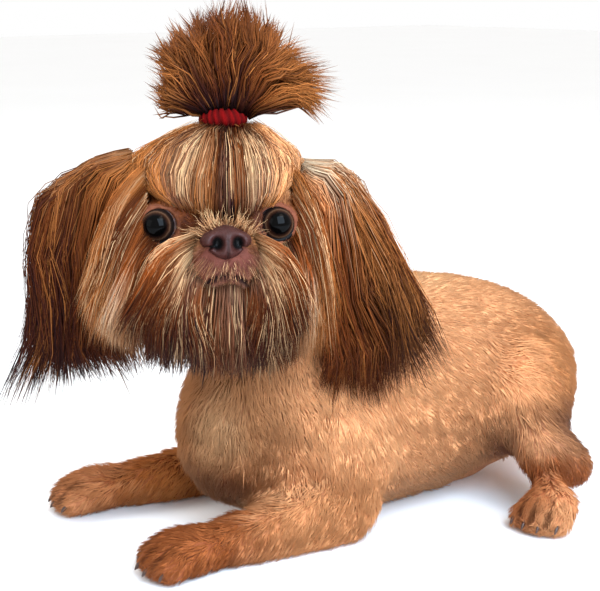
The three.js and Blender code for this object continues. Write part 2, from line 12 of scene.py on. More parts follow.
import bmesh
import bpy
import numpy as np
from mathutils import Matrix, Vector
from mathutils.bvhtree import BVHTree
from mathutils.kdtree import KDTree


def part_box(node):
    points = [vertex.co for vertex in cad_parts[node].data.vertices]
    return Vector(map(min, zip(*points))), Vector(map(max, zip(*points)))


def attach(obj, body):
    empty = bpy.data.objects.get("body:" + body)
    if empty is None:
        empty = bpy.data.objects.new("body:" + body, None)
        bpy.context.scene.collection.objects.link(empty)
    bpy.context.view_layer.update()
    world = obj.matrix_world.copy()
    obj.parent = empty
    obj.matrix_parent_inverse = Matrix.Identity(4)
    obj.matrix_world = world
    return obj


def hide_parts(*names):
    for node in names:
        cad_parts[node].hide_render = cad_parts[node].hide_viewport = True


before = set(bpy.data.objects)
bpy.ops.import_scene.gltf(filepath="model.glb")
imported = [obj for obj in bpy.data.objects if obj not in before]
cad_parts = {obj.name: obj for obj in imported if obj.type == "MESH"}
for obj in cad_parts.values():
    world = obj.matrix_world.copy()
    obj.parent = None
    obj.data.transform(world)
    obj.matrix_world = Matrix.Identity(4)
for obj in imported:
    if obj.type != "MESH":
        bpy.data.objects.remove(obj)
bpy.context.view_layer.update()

LOG = logging.getLogger("shih_tzu")
MM = 0.001
GAMMA = 2.2
MAP_ROOM = 0.003  # the side of one tuft's own square in the bake map
Points = np.ndarray
Spot = tuple[float, float, float]
Piece = bpy.types.Object
Mesh = bpy.types.Mesh
Shape = bmesh.types.BMesh
Material = bpy.types.Material

# The pose, in the animal's own millimetres: it faces -Y and its left is +X.
HEAD_AT = (0.5, -60.0, 160.5)
HEAD_TURN = math.radians(56)
HEAD_LIFT = math.radians(7)
FOREARM = 86.0
HOCK_TO_HEEL = 32.0
FOOT_HEIGHT = 10.0
TOE_GAP = 0.235  # from toe to toe, as a share of the foot's width
FORELEGS = {
    "left": ((49.0, 6.0, 18.0), math.radians(-14), math.radians(-13)),
    "right": ((-54.0, 20.0, 17.0), math.radians(-14), math.radians(-24)),
}
HINDLEGS = {
    "left": ((34.0, 138.0, 68.0), (76.0, 86.0, 42.0), (86.0, 134.0, 15.0), math.radians(12)),
    "right": ((-32.0, 138.0, 68.0), (-72.0, 88.0, 42.0), (-74.0, 140.0, 15.0), math.radians(-12)),
}
TAIL_LINE = ((0, 178, 76), (-6, 204, 56), (-20, 216, 32), (-44, 212, 15), (-68, 198, 9))

# On the head, in millimetres of its own frame. Sides are 1 for left and -1 for right.
EYE_AT = (27.0, -30.0, 8.0)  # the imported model's left eye
EYES = {1: (25.1, -30.0, 6.3), -1: (-31.1, -29.5, 6.3)}
EYE_RADIUS = 10.2
EYE_INSET = np.array([0, 8, 0])  # from an eye's front in to its middle
EYE_WHITE = 72.0  # degrees from the gaze to where the eye's colours end
BAND_AT = (2.0, -4.0, 57.0)
BAND_RADIUS = 8.5
BAND_THICK = 4.6


def unit(ways: Points) -> Points:
    """Directions with a length of one."""
    return ways / np.maximum(np.linalg.norm(ways, axis=-1, keepdims=True), 1e-12)


def smooth(low: float, high: float, values: Points) -> Points:
    """A smooth step from 0 at low to 1 at high."""
    share = np.clip((np.asarray(values, float) - low) / (high - low), 0.0, 1.0)
    return share * share * (3.0 - 2.0 * share)


def bell(values: Points, wide: float, middle: float = 0.0) -> Points:
    """A soft swell that is 1 at the middle and falls away over the width."""
    return np.exp(-(((values - middle) / wide) ** 2))


def forward(turn: float) -> Points:
    """The level way that -Y comes to by a turn to the left, in radians."""
    return np.array([math.sin(turn), -math.cos(turn), 0])


def leftward(turn: float) -> Points:
    """The level way to the left of that one."""
    return np.array([math.cos(turn), math.sin(turn), 0])


def bearing(left: float, up: float) -> Points:
    """The direction that lies so many degrees to the left of -Y and up."""
    left, up = math.radians(left), math.radians(up)
    return np.array([math.sin(left) * math.cos(up), -math.cos(left) * math.cos(up), math.sin(up)])


def spline(points: Sequence, share: Points) -> Points:
    """Points along a smooth curve through the given points.

    Args:
        points: The places that the curve passes, in order.
        share: Where on the curve, from 0 to 1, one value for each result.

    Returns:
        One point for each share.
    """
    stops = np.asarray(points, float)
    padded = np.vstack([2 * stops[0] - stops[1], stops, 2 * stops[-1] - stops[-2]])
    at = np.clip(np.asarray(share, float), 0.0, 1.0) * (len(stops) - 1)
    low = np.minimum(at.astype(int), len(stops) - 2)
    t = (at - low)[:, None]
    a, b, c, d = padded[low], padded[low + 1], padded[low + 2], padded[low + 3]
    return 0.5 * (2 * b + (c - a) * t + (2 * a - 5 * b + 4 * c - d) * t**2 + (3 * b - a - 3 * c + d) * t**3)


def ripple(points: Points, size: float, seed: int) -> Points:
    """Smooth noise between about -1 and 1, the same each run.

    Args:
        points: Where, in millimetres.
        size: The width of one swell, in millimetres.
        seed: Picks one pattern.

    Returns:
        One value for each point.
    """
    rng = np.random.default_rng(seed)
    total = np.zeros(len(points))
    for octave in range(3):
        ways = unit(rng.normal(size=(5, 3))) * (2 * np.pi / size) * 1.7**octave
        phase = rng.uniform(0, 2 * np.pi, 5)
        total += np.sin(points @ ways.T + phase).sum(axis=1) / (3.6 * 1.5**octave)
    return total


class Stance:
    """Turns the animal's own millimetres into places of the row frame, in metres."""

    def __init__(self) -> None:
        """Finds the head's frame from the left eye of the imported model."""
        turn = Matrix.Rotation(HEAD_TURN, 3, "Z") @ Matrix.Rotation(-HEAD_LIFT, 3, "X")
        low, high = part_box("eye_left")
        middle = np.array((low + high) / 2)
        self.turn = np.array(turn)
        self.origin = middle - self.turn @ np.array(EYE_AT) * MM
        self.shift = self.origin - np.array(HEAD_AT) * MM

    def head(self, points: Sequence) -> Points:
        """Places given in the head's own frame: its left is +X and its face looks along -Y."""
        return np.asarray(points, float) @ self.turn.T * MM + self.origin

    def head_way(self, ways: Sequence) -> Points:
        """Directions given in the head's own frame."""
        return np.asarray(ways, float) @ self.turn.T

    def body(self, points: Sequence) -> Points:
        """Places given in the animal's own frame."""
        return np.asarray(points, float) * MM + self.shift

    def to_head(self, places: Points) -> Points:
        """The head's own millimetres of places in the row frame."""
        return (np.asarray(places, float) - self.origin) @ self.turn / MM

    def to_body(self, places: Points) -> Points:
        """The animal's own millimetres of places in the row frame."""
        return (np.asarray(places, float) - self.shift) / MM


STANCE = Stance()


class Tone(Enum):
    """Colours of coat and skin, as they look in daylight: red, green and blue."""

    APRICOT = (0.95, 0.68, 0.475)
    PALE = (0.95, 0.76, 0.56)
    CREAM = (0.96, 0.85, 0.70)
    FAWN = (0.70, 0.49, 0.33)
    GOLD = (0.72, 0.44, 0.23)
    RUST = (0.60, 0.29, 0.10)
    CHESTNUT = (0.46, 0.24, 0.11)
    UMBER = (0.30, 0.15, 0.08)
    SABLE = (0.17, 0.07, 0.04)
    SMOKE = (0.50, 0.34, 0.26)
    MAUVE = (0.48, 0.27, 0.22)

    @property
    def linear(self) -> Points:
        """The colour for light sums."""
        return np.array(self.value) ** GAMMA


APRICOT, PALE, CREAM, FAWN, GOLD, RUST, CHESTNUT, UMBER, SABLE, SMOKE, MAUVE = Tone


@dataclass(frozen=True)
class Zone:
    """A soft-edged marking or patch of painted shade: an ellipsoid of one tone.

    The middle and the reach along x, y and z are millimetres, in the head's own frame or the
    animal's. Strength is how far the tone covers what lies under it.
    """

    tone: Tone
    at: Spot
    reach: Spot
    strength: float = 1.0
    edge: float = 0.5

    def cover(self, places: Points, jitter: Points) -> Points:
        """How much of this marking shows at each place, from 0 to 1."""
        off = np.linalg.norm((places - np.array(self.at)) / np.array(self.reach), axis=1)
        return self.strength * smooth(1.0 + self.edge / 2, 1.0 - self.edge / 2, off + jitter)


@dataclass(frozen=True)
class Foot:
    """One foot on the floor: its heel, where it points, and sizes in millimetres from the heel on."""

    heel: Points
    turn: float
    half: float
    wide: float
    creases: float
    claws: float

    def middle(self) -> Points:
        """The middle of the foot, in the animal's frame."""
        spot = self.heel + self.half * forward(self.turn)
        spot[2] = FOOT_HEIGHT
        return spot


def feet() -> dict[str, Foot]:
    """The forefeet and then the hind feet, at the ends of their legs."""
    made = {}
    for side, (elbow, toward, turn) in FORELEGS.items():
        made[f"fore_{side}"] = Foot(np.array(elbow) + FOREARM * forward(toward), turn, 24.0, 41.0, 47.0, 53.0)
    for side, (_, _, hock, turn) in HINDLEGS.items():
        made[f"hind_{side}"] = Foot(np.array(hock) + HOCK_TO_HEEL * forward(turn), turn, 18.0, 37.0, 39.5, 44.0)
    return made


FEET = feet()


def object_of(name: str, mesh: Mesh) -> Piece:
    """A new object of the scene that shows a mesh."""
    made = bpy.data.objects.new(name, mesh)
    bpy.context.scene.collection.objects.link(made)
    return made


def read(parts: Sequence, key: str, width: int, kind: type) -> Points:
    """One value of all of a mesh's parts, a row for each."""
    flat = np.zeros(len(parts) * width, kind)
    parts.foreach_get(key, flat)
    return flat.reshape(-1, width)


def spots_of(mesh: Mesh) -> Points:
    """The places of a mesh's vertices."""
    return read(mesh.vertices, "co", 3, np.float32).astype(float)


def put_spots(mesh: Mesh, places: Points) -> None:
    """Moves a mesh's vertices."""
    mesh.vertices.foreach_set("co", np.asarray(places, np.float32).ravel())
    mesh.update()


def normals_of(mesh: Mesh) -> Points:
    """The normals of a mesh's vertices."""
    return read(mesh.vertex_normals, "vector", 3, np.float32).astype(float)


def mesh_of(shape: Shape, name: str) -> Mesh:
    """Turns a finished bmesh into a mesh and frees it."""
    made = bpy.data.meshes.new(name)
    shape.to_mesh(made)
    shape.free()
    return made


def put_in(whole: Shape, part: Shape) -> None:
    """Adds a finished bmesh to another and frees it."""
    mesh = mesh_of(part, "part")
    whole.from_mesh(mesh)
    bpy.data.meshes.remove(mesh)


def carry(mesh: Mesh, name: str, values: Points) -> None:
    """Lets a mesh carry a number or a direction at each vertex, for its material to read by name."""
    kind, key = ("FLOAT", "value") if values.ndim == 1 else ("FLOAT_VECTOR", "vector")
    made = mesh.attributes.new(name, kind, "POINT")
    made.data.foreach_set(key, values.astype(np.float32).ravel())


def carry_tones(mesh: Mesh, tones: Points) -> None:
    """Lets a mesh carry its colours."""
    made = mesh.attributes.new("tone", "FLOAT_COLOR", "POINT")
    rgba = np.concatenate([tones, np.ones((len(tones), 1))], axis=1)
    made.data.foreach_set("color", rgba.astype(np.float32).ravel())


def warped(shape: Shape, move: Callable[[Points], Points]) -> Shape:
    """Moves all of a bmesh's vertices by a rule on their places."""
    places = move(np.array([v.co for v in shape.verts], float))
    for vert, place in zip(shape.verts, places):
        vert.co = place
    return shape


def shaded_smooth(mesh: Mesh) -> None:
    """Shades every face of a mesh smoothly."""
    mesh.polygons.foreach_set("use_smooth", np.ones(len(mesh.polygons), bool))


def applied(obj: Piece, name: str) -> Piece:
    """Replaces an object by what its modifiers make of it."""
    graph = bpy.context.evaluated_depsgraph_get()
    mesh = bpy.data.meshes.new_from_object(obj.evaluated_get(graph))
    bpy.data.objects.remove(obj)
    return object_of(name, mesh)


def remeshed(obj: Piece, voxel: float, name: str) -> Piece:
    """One closed skin of even small faces round all that an object holds."""
    change = obj.modifiers.new("remesh", "REMESH")
    change.mode = "VOXEL"
    change.voxel_size = voxel
    return applied(obj, name)


def combined(base: Piece, other: Piece, how: str, name: str) -> Piece:
    """Joins two closed objects, or cuts one from the other.

    Args:
        base: The object that is kept.
        other: The object that is added or cut away.
        how: UNION or DIFFERENCE.
        name: The name of the result.

    Returns:
        The new object.
    """
    change = base.modifiers.new("combine", "BOOLEAN")
    change.operation = how
    change.solver = "MANIFOLD"
    change.object = other
    made = applied(base, name)
    bpy.data.objects.remove(other)
    return made


def relaxed(values: Points, edges: Points, times: int, share: float = 0.5) -> Points:
    """Evens out values over a mesh by moving each towards its neighbours' mean."""
    count = len(values)
    ends = np.concatenate([edges[:, 0], edges[:, 1]])
    others = np.concatenate([edges[:, 1], edges[:, 0]])
    degree = np.maximum(np.bincount(ends, minlength=count), 1)[:, None]
    for _ in range(times):
        sums = np.stack([np.bincount(ends, values[others, k], count) for k in range(3)], axis=1)
        values = values * (1 - share) + share * sums / degree
    return values


def edges_of(mesh: Mesh) -> Points:
    """The vertex pairs of a mesh's edges."""
    return read(mesh.edges, "vertices", 2, np.int32)


@dataclass(frozen=True)
class Station:
    """One cross-section of a swept body: its middle, and how far it reaches aside and outwards."""

    at: Spot
    side: float
    lift: float


def swept(stations: Sequence[Station], aside: Sequence, sides: int, rings: int, cap: float) -> Shape:
    """A closed body with round ends through a row of cross-sections, in the frame they are given in.

    Args:
        stations: The cross-sections, in order.
        aside: The direction of their widths.
        sides: Faces round the body.
        rings: Faces along the body.
        cap: The share of the length that each round end takes.

    Returns:
        The body, still in millimetres.
    """
    shape = bmesh.new()
    bmesh.ops.create_uvsphere(shape, u_segments=sides, v_segments=rings, radius=1)
    line = [s.at for s in stations]
    sizes = [(s.side, s.lift, 0) for s in stations]
    across = np.array(aside, float)

    def move(spots: Points) -> Points:
        share = np.arccos(np.clip(-spots[:, 2], -1, 1)) / np.pi
        inset = np.minimum(share, 1 - share) / cap
        full = np.where(inset >= 1, 1.0, np.sqrt(np.maximum(0, 1 - (1 - np.minimum(inset, 1)) ** 2)))
        middle = spline(line, share)
        along = unit(spline(line, np.minimum(share + 0.01, 1)) - spline(line, np.maximum(share - 0.01, 0)))
        side = unit(across - along * (along @ across)[:, None])
        lift = np.cross(along, side)
        size = spline(sizes, share)
        round_part = np.maximum(np.hypot(spots[:, 0], spots[:, 1]), 1e-9)
        edge = (np.hypot(spots[:, 0], spots[:, 1]) > 1e-5) * full
        out = side * (spots[:, 0] / round_part * size[:, 0] * edge)[:, None]
        return middle + out + lift * (spots[:, 1] / round_part * size[:, 1] * edge)[:, None]

    return warped(shape, move)


def ball(middle: Sequence, radii: Sequence, detail: int = 4, turn: Matrix | None = None) -> Shape:
    """An ellipsoid of even faces."""
    shape = bmesh.new()
    bmesh.ops.create_icosphere(shape, subdivisions=detail, radius=1)
    bmesh.ops.scale(shape, vec=Vector(radii), verts=shape.verts)
    if turn is not None:
        bmesh.ops.rotate(shape, matrix=turn, verts=shape.verts)
    bmesh.ops.translate(shape, vec=Vector(middle), verts=shape.verts)
    return shape


@dataclass(frozen=True)
class Bump:
    """Where the skull's form stands out or draws in: its bearing, how far and how wide, in degrees."""

    left: float
    up: float
    out: float
    wide: float


@dataclass
class HeadForm:
    """The skull's outer form and the mouth line, in millimetres of the head's frame."""

    width: float = 84
    length: float = 88
    height: float = 92
    square: float = 2.4
    mouth_half: float = 10.5
    mouth_below: float = 17.2
    mouth_drop: float = 4.4
    bumps: tuple[Bump, ...] = (
        Bump(0, -14, 9, 22),
        Bump(22, -26, 7, 14),
        Bump(-22, -26, 7, 14),
        Bump(0, 18, -4, 12),
        Bump(32, 32, 3, 15),
        Bump(-32, 32, 3, 15),
        Bump(64, -14, 6, 24),
        Bump(-64, -14, 6, 24),
        Bump(0, -48, 5, 17),
    )

    def reach(self, ways: Points) -> Points:
        """How far the surface lies from the middle of the skull in each direction."""
        parts = np.abs(ways) / (np.array([self.width, self.length, self.height]) / 2)
        out = (parts**self.square).sum(axis=1) ** (-1 / self.square)
        for bump in self.bumps:
            off = np.degrees(np.arccos(np.clip(ways @ bearing(bump.left, bump.up), -1, 1)))
            out = out + bump.out * bell(off, bump.wide)
        return out

    def over_mouth(self, x: Points, z: Points) -> Points:
        """How far places of the face lie above the mouth line."""
        share = np.clip(x / self.mouth_half, -1.15, 1.15)
        return z - (-self.mouth_below - self.mouth_drop * share**2)

    def fold(self, spots: Points) -> Points:
        """How far the face's small forms lift the skin at each spot: lips, philtrum and creases."""
        x, y, z = spots.T
        front = smooth(-34, -42, y)
        lift = np.zeros(len(spots))
        above = self.over_mouth(x, z)
        across = smooth(1.15, 0.9, np.abs(x) / self.mouth_half)
        lift -= 3.0 * bell(above, 1.2) * across
        lift += 0.9 * bell(above, 2.0, 2.6) * across
        lift += 1.0 * bell(above, 1.8, -2.4) * across
        lift -= 1.5 * bell(x, 0.9) * smooth(-18.5, -17, z) * smooth(-5, -8, z)
        lift += 1.2 * bell(np.abs(x), 3.5, 5) * smooth(-19, -15, z) * smooth(-6, -10, z)
        lift *= front
        for side, eye in EYES.items():
            off = spots - np.array(eye) + EYE_INSET
            far = np.hypot(off[:, 0] * 0.92, off[:, 2])
            under = smooth(4, -6, off[:, 2]) * smooth(-22, -30, y)
            lift -= 1.1 * bell(far, 1.3, 16.5) * under
            lift += 0.9 * bell(far, 1.8, 14.0) * under
            lift -= 0.8 * bell(far, 1.4, 21.5) * under * smooth(2, -4, off[:, 0] * side)
        return lift


HEAD_FORM = HeadForm()
LIMBS = ("foreleg", "forepaw", "hindleg", "hindfoot")
FLESH = ("torso", "neck", *(f"{limb}_{side}" for limb in LIMBS for side in ("left", "right")))


@dataclass
class Skin:
    """The one skin that carries the coat, inside the solids by the coat's depth."""

    body_voxel: float = 2.7
    head_voxel: float = 0.95
    overlap: float = 0.5
    coat: float = 4.2
    paw_coat: float = 2.0
    face_coat: float = 2.2
    crown_coat: float = 4.5
    obj: Piece = field(init=False)
    tree: BVHTree = field(init=False)

    def body(self) -> Piece:
        """Trunk, neck and legs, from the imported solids, as one closed surface drawn in by the coat."""
        shape = bmesh.new()
        for name in FLESH:
            piece = bmesh.new()
            piece.from_mesh(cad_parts[name].data)
            bmesh.ops.remove_doubles(piece, verts=piece.verts, dist=1e-5)
            bmesh.ops.recalc_face_normals(piece, faces=piece.faces)
            piece.normal_update()
            for vert in piece.verts:
                vert.co += vert.normal * self.overlap * MM
            put_in(shape, piece)
        whole = object_of("body_form", mesh_of(shape, "body_form"))
        made = remeshed(whole, self.body_voxel * MM, "body_form")
        mesh = made.data
        edges = edges_of(mesh)
        spots = relaxed(spots_of(mesh), edges, 6)
        put_spots(mesh, spots)
        inward = unit(relaxed(normals_of(mesh), edges, 8))
        put_spots(mesh, relaxed(spots - inward * self.depth(spots)[:, None] * MM, edges, 2))
        return made

    def depth(self, spots: Points) -> Points:
        """How deep the coat is over each place of the body, in millimetres."""
        places = STANCE.to_body(spots)
        near = np.min([np.linalg.norm(places - foot.middle(), axis=1) for foot in FEET.values()], axis=0)
        deep = self.paw_coat + (self.coat - self.paw_coat) * smooth(28, 60, near)
        return (deep + self.overlap) * smooth(0.0, 5.0, places[:, 2])

    def head(self) -> Piece:
        """Skull with its crown of drawn-up hair, ear flaps and open lids, as one closed surface."""
        shape = bmesh.new()
        bmesh.ops.create_icosphere(shape, subdivisions=6, radius=1)

        def skull(spots: Points) -> Points:
            ways = unit(spots)
            return ways * (HEAD_FORM.reach(ways) - self.face_coat)[:, None]

        parts = [warped(shape, skull)]
        drawn = self.crown_coat
        crown = (
            Station((0, -3, 14), 39 - drawn, 37 - drawn),
            Station((0, -3, 34), 38.5 - drawn, 36 - drawn),
            Station((1, -3, 47), 29 - drawn, 26 - drawn),
            Station((2, -4, 54), 8, 8),
            Station((2, -4, 60), 6, 6),
        )
        parts.append(swept(crown, (1, 0, 0), 48, 40, 0.06))
        for side in (-1, 1):
            flap = (
                Station((side * 30, 6, 24), 11, 5.5),
                Station((side * 44, 6, 28), 10, 4),
                Station((side * 56, 5, 29), 10.5, 2.6),
                Station((side * 70, 4, 10), 9.5, 2.2),
                Station((side * 73, 2, -18), 5, 1.8),
            )
            parts.append(swept(flap, (0, side, 0), 32, 32, 0.14))
            parts.append(ball(EYES[side], (EYE_RADIUS + 1.2, EYE_RADIUS + 0.9, EYE_RADIUS + 1.1)))
        whole = bmesh.new()
        for part in parts:
            put_in(whole, part)
        made = remeshed(object_of("head_form", mesh_of(whole, "head_form")), self.head_voxel, "head_form")
        for side in (-1, 1):
            turned, leant = math.radians(8 * side), math.radians(6 * side)
            turn = Matrix.Rotation(turned, 3, "Z") @ Matrix.Rotation(leant, 3, "Y")
            hole = ball(np.array(EYES[side]) - (0, 10, 0), (8.8, 16, 8.4), 4, turn)
            made = combined(made, object_of("opening", mesh_of(hole, "opening")), "DIFFERENCE", "head_form")
        made = remeshed(made, self.head_voxel, "head_form")
        mesh = made.data
        spots = relaxed(spots_of(mesh), edges_of(mesh), 3, 0.4)
        spots = spots + unit(spots) * HEAD_FORM.fold(spots)[:, None]
        put_spots(mesh, STANCE.head(spots))
        return made

    def tail(self) -> Piece:
        """The tail's own body under its plume."""
        sizes = (10.0, 9.0, 7.5, 6.0, 4.0)
        stations = [Station(at, size, size) for at, size in zip(TAIL_LINE, sizes)]
        shape = swept(stations, (1, 0, 0), 24, 40, 0.1)
        return object_of("tail_form", mesh_of(warped(shape, STANCE.body), "tail_form"))

    def build(self) -> None:
        """Makes the skin and the tree that the coat finds it by."""
        whole = combined(self.body(), self.head(), "UNION", "skin")
        whole = combined(whole, self.tail(), "UNION", "skin")
        low = STANCE.body((0, 0, 0))[2]
        mesh = whole.data
        spots = spots_of(mesh)
        spots[:, 2] = np.maximum(spots[:, 2], low)
        put_spots(mesh, spots)
        shaded_smooth(mesh)
        whole.name = "skin"
        self.obj = whole
        self.tree = BVHTree.FromObject(whole, bpy.context.evaluated_depsgraph_get())


# Markings and painted shade: those of the head are placed in the head's frame, and those of the body in the animal's.
HEAD_BASE = CHESTNUT
HEAD_ZONES = (
    Zone(GOLD, (0, -20, 48), (60, 50, 34)),
    Zone(APRICOT, (34, 46, -42), (46, 34, 34), 0.9, 0.7),
    Zone(RUST, (-38, -30, -10), (24, 26, 24), 0.9),
    Zone(RUST, (41, -26, -12), (13, 24, 26), 0.75),
    Zone(APRICOT, (38, -30, 27), (16, 20, 12), 0.7),
    Zone(RUST, (-31, -38, 7), (19, 16, 17), 0.8, 0.6),
    Zone(GOLD, (26, -38, 7), (19, 16, 17), 0.8, 0.6),
    Zone(SMOKE, (-31, -38, 9), (13, 16, 12), 0.6, 0.5),
    Zone(MAUVE, (25, -38, 9), (13, 16, 13), 0.75, 0.5),
    Zone(PALE, (30, -42, -10), (12, 12, 7), 0.6),
    Zone(FAWN, (-17, -48, -3), (9, 14, 6), 0.7),
    Zone(FAWN, (15, -48, -5), (8, 14, 6), 0.5),
    Zone(UMBER, (-15, -42, 7), (6, 12, 6), 0.9, 0.9),
    Zone(UMBER, (12, -42, 9), (6, 12, 7), 0.7, 0.9),
    Zone(SABLE, (0, -36, 24), (5, 22, 11), 0.8, 0.9),
    Zone(FAWN, (0, -52, 8), (11, 12, 4), 0.7, 0.8),
    Zone(MAUVE, (0, -52, -11), (16, 14, 10), 1.0, 0.5),
    Zone(UMBER, (0, -42, 14), (17, 10, 5), 0.8, 0.8),
    Zone(SMOKE, (0, -48, -25), (13, 12, 5), 0.9, 0.5),
    Zone(UMBER, (0, -34, -46), (44, 26, 17), 0.8, 0.7),
)
BODY_BASE = APRICOT
BODY_ZONES = (
    # Painted shade: the first two zones darken the breast, which lies in the head's shadow.
    Zone(FAWN, (-6, -66, 70), (48, 40, 56), 0.95, 0.8),
    Zone(CHESTNUT, (-4, -62, 80), (52, 40, 52), 0.22, 0.9),
    Zone(GOLD, (-30, -50, 60), (20, 40, 50), 0.3, 0.9),
    Zone(PALE, (10, -84, 56), (18, 26, 22), 0.35, 0.9),
    Zone(SMOKE, (-4, -70, 22), (26, 22, 16), 0.5, 0.9),
    Zone(GOLD, (60, -46, 14), (26, 60, 24), 0.4, 0.7),
    Zone(RUST, (28, -106, 14), (34, 40, 34), 0.85, 1.1),
    Zone(GOLD, (-62, -20, 20), (26, 70, 34), 0.95, 0.7),
    Zone(RUST, (-92, -84, 14), (34, 40, 34), 0.6, 1.1),
    Zone(GOLD, (60, 140, 40), (54, 50, 60), 0.7, 0.9),
    # Painted shade between the belly and the left thigh.
    Zone(SMOKE, (70, 110, 32), (28, 28, 26), 0.9, 0.9),
    Zone(RUST, (86, 90, 12), (26, 44, 18), 0.75, 0.9),
    Zone(GOLD, (-80, 90, 12), (26, 44, 16), 0.8, 0.8),
    # Painted shade along the underside of the belly, by the floor.
    Zone(FAWN, (0, 70, 14), (52, 100, 14), 0.5, 0.9),
    Zone(PALE, (10, 50, 140), (40, 130, 20), 0.5, 0.9),
    # Painted shade in the left groin, under the belly by the thigh.
    Zone(MAUVE, (52, 104, 20), (12, 16, 12), 0.6, 0.9),
)
EAR_BASE = CHESTNUT


class MarkingsAndShade:
    """The animal's colours by place, the same on skin and coat; some of the zones are painted shade."""

    @staticmethod
    def painted(base: Tone, zones: Sequence[Zone], places: Points, seed: int) -> Points:
        """A base tone with its zones over it, their edges broken up as in hair."""
        jitter = 0.10 * ripple(places, 13, seed) + 0.05 * ripple(places, 4, seed + 1)
        tones = np.tile(base.linear, (len(places), 1))
        for zone in zones:
            cover = zone.cover(places, jitter)[:, None]
            tones = tones * (1 - cover) + zone.tone.linear * cover
        return tones

    def at(self, spots: Points) -> Points:
        """The colour at each place of the row frame."""
        head = STANCE.to_head(spots)
        body = STANCE.to_body(spots)
        on_head = self.head_share(spots)[:, None]
        x, y, z = head.T
        ear = (smooth(43, 50, np.abs(x)) * smooth(-6, -2, y) * smooth(30, 25, y))[:, None]
        face = self.painted(HEAD_BASE, HEAD_ZONES, head, 11)
        # Dark along the mouth line: partly the lips' own dark edge, partly painted shade in the mouth's crease.
        mouth_line = bell(HEAD_FORM.over_mouth(x, z), 1.8) * smooth(1.15, 0.95, np.abs(x) / HEAD_FORM.mouth_half)
        mouth_line = mouth_line * smooth(-34, -40, y)
        face = face * (1 - mouth_line * 0.95)[:, None] + SABLE.linear * (mouth_line * 0.5)[:, None]
        face = face * (1 - ear) + EAR_BASE.linear * ear
        return self.painted(BODY_BASE, BODY_ZONES + toe_crease_shade(), body, 31) * (1 - on_head) + face * on_head

    @staticmethod
    def head_share(spots: Points) -> Points:
        """How far each place belongs to the head, from 0 to 1."""
        head = STANCE.to_head(spots)
        far = np.linalg.norm(head * np.array([0.55, 1, 1]), axis=1)
        return smooth(66, 54, far) * smooth(112, 124, STANCE.to_body(spots)[:, 2] + 0.35 * -head[:, 1])


MARKINGS_AND_SHADE = MarkingsAndShade()


def toe_crease_shade() -> tuple[Zone, ...]:
    """Painted shade in the creases between the toes of every foot."""
    zones = []
    for foot in FEET.values():
        for place, behind in ((p, b) for p in (-1, 0, 1) for b in (0, 5, 10)):
            aside = leftward(foot.turn) * place * foot.wide * TOE_GAP
            at = foot.heel + forward(foot.turn) * (foot.creases - behind) + aside
            size = (foot.wide * 0.046 - behind * 0.06, 3.8, 5.5)
            zones.append(Zone(UMBER, (*at[:2], 9 + behind * 0.5), size, 0.7, 0.7))
    return tuple(zones)


@dataclass(frozen=True)
class Cut:
    """The make of one kind of tuft: its width in millimetres, its stations, and shares for form and tone, with the
    painted shade at its root and the painted light at its tip.
    """

    width: float
    stations: int
    flat: float = 0.5
    blunt: float = 0.7
    root: float = 0.6
    shaded_root: float = 0.75
    lit_tip: float = 1.08
    vary: float = 0.16
    early: float = 1.2


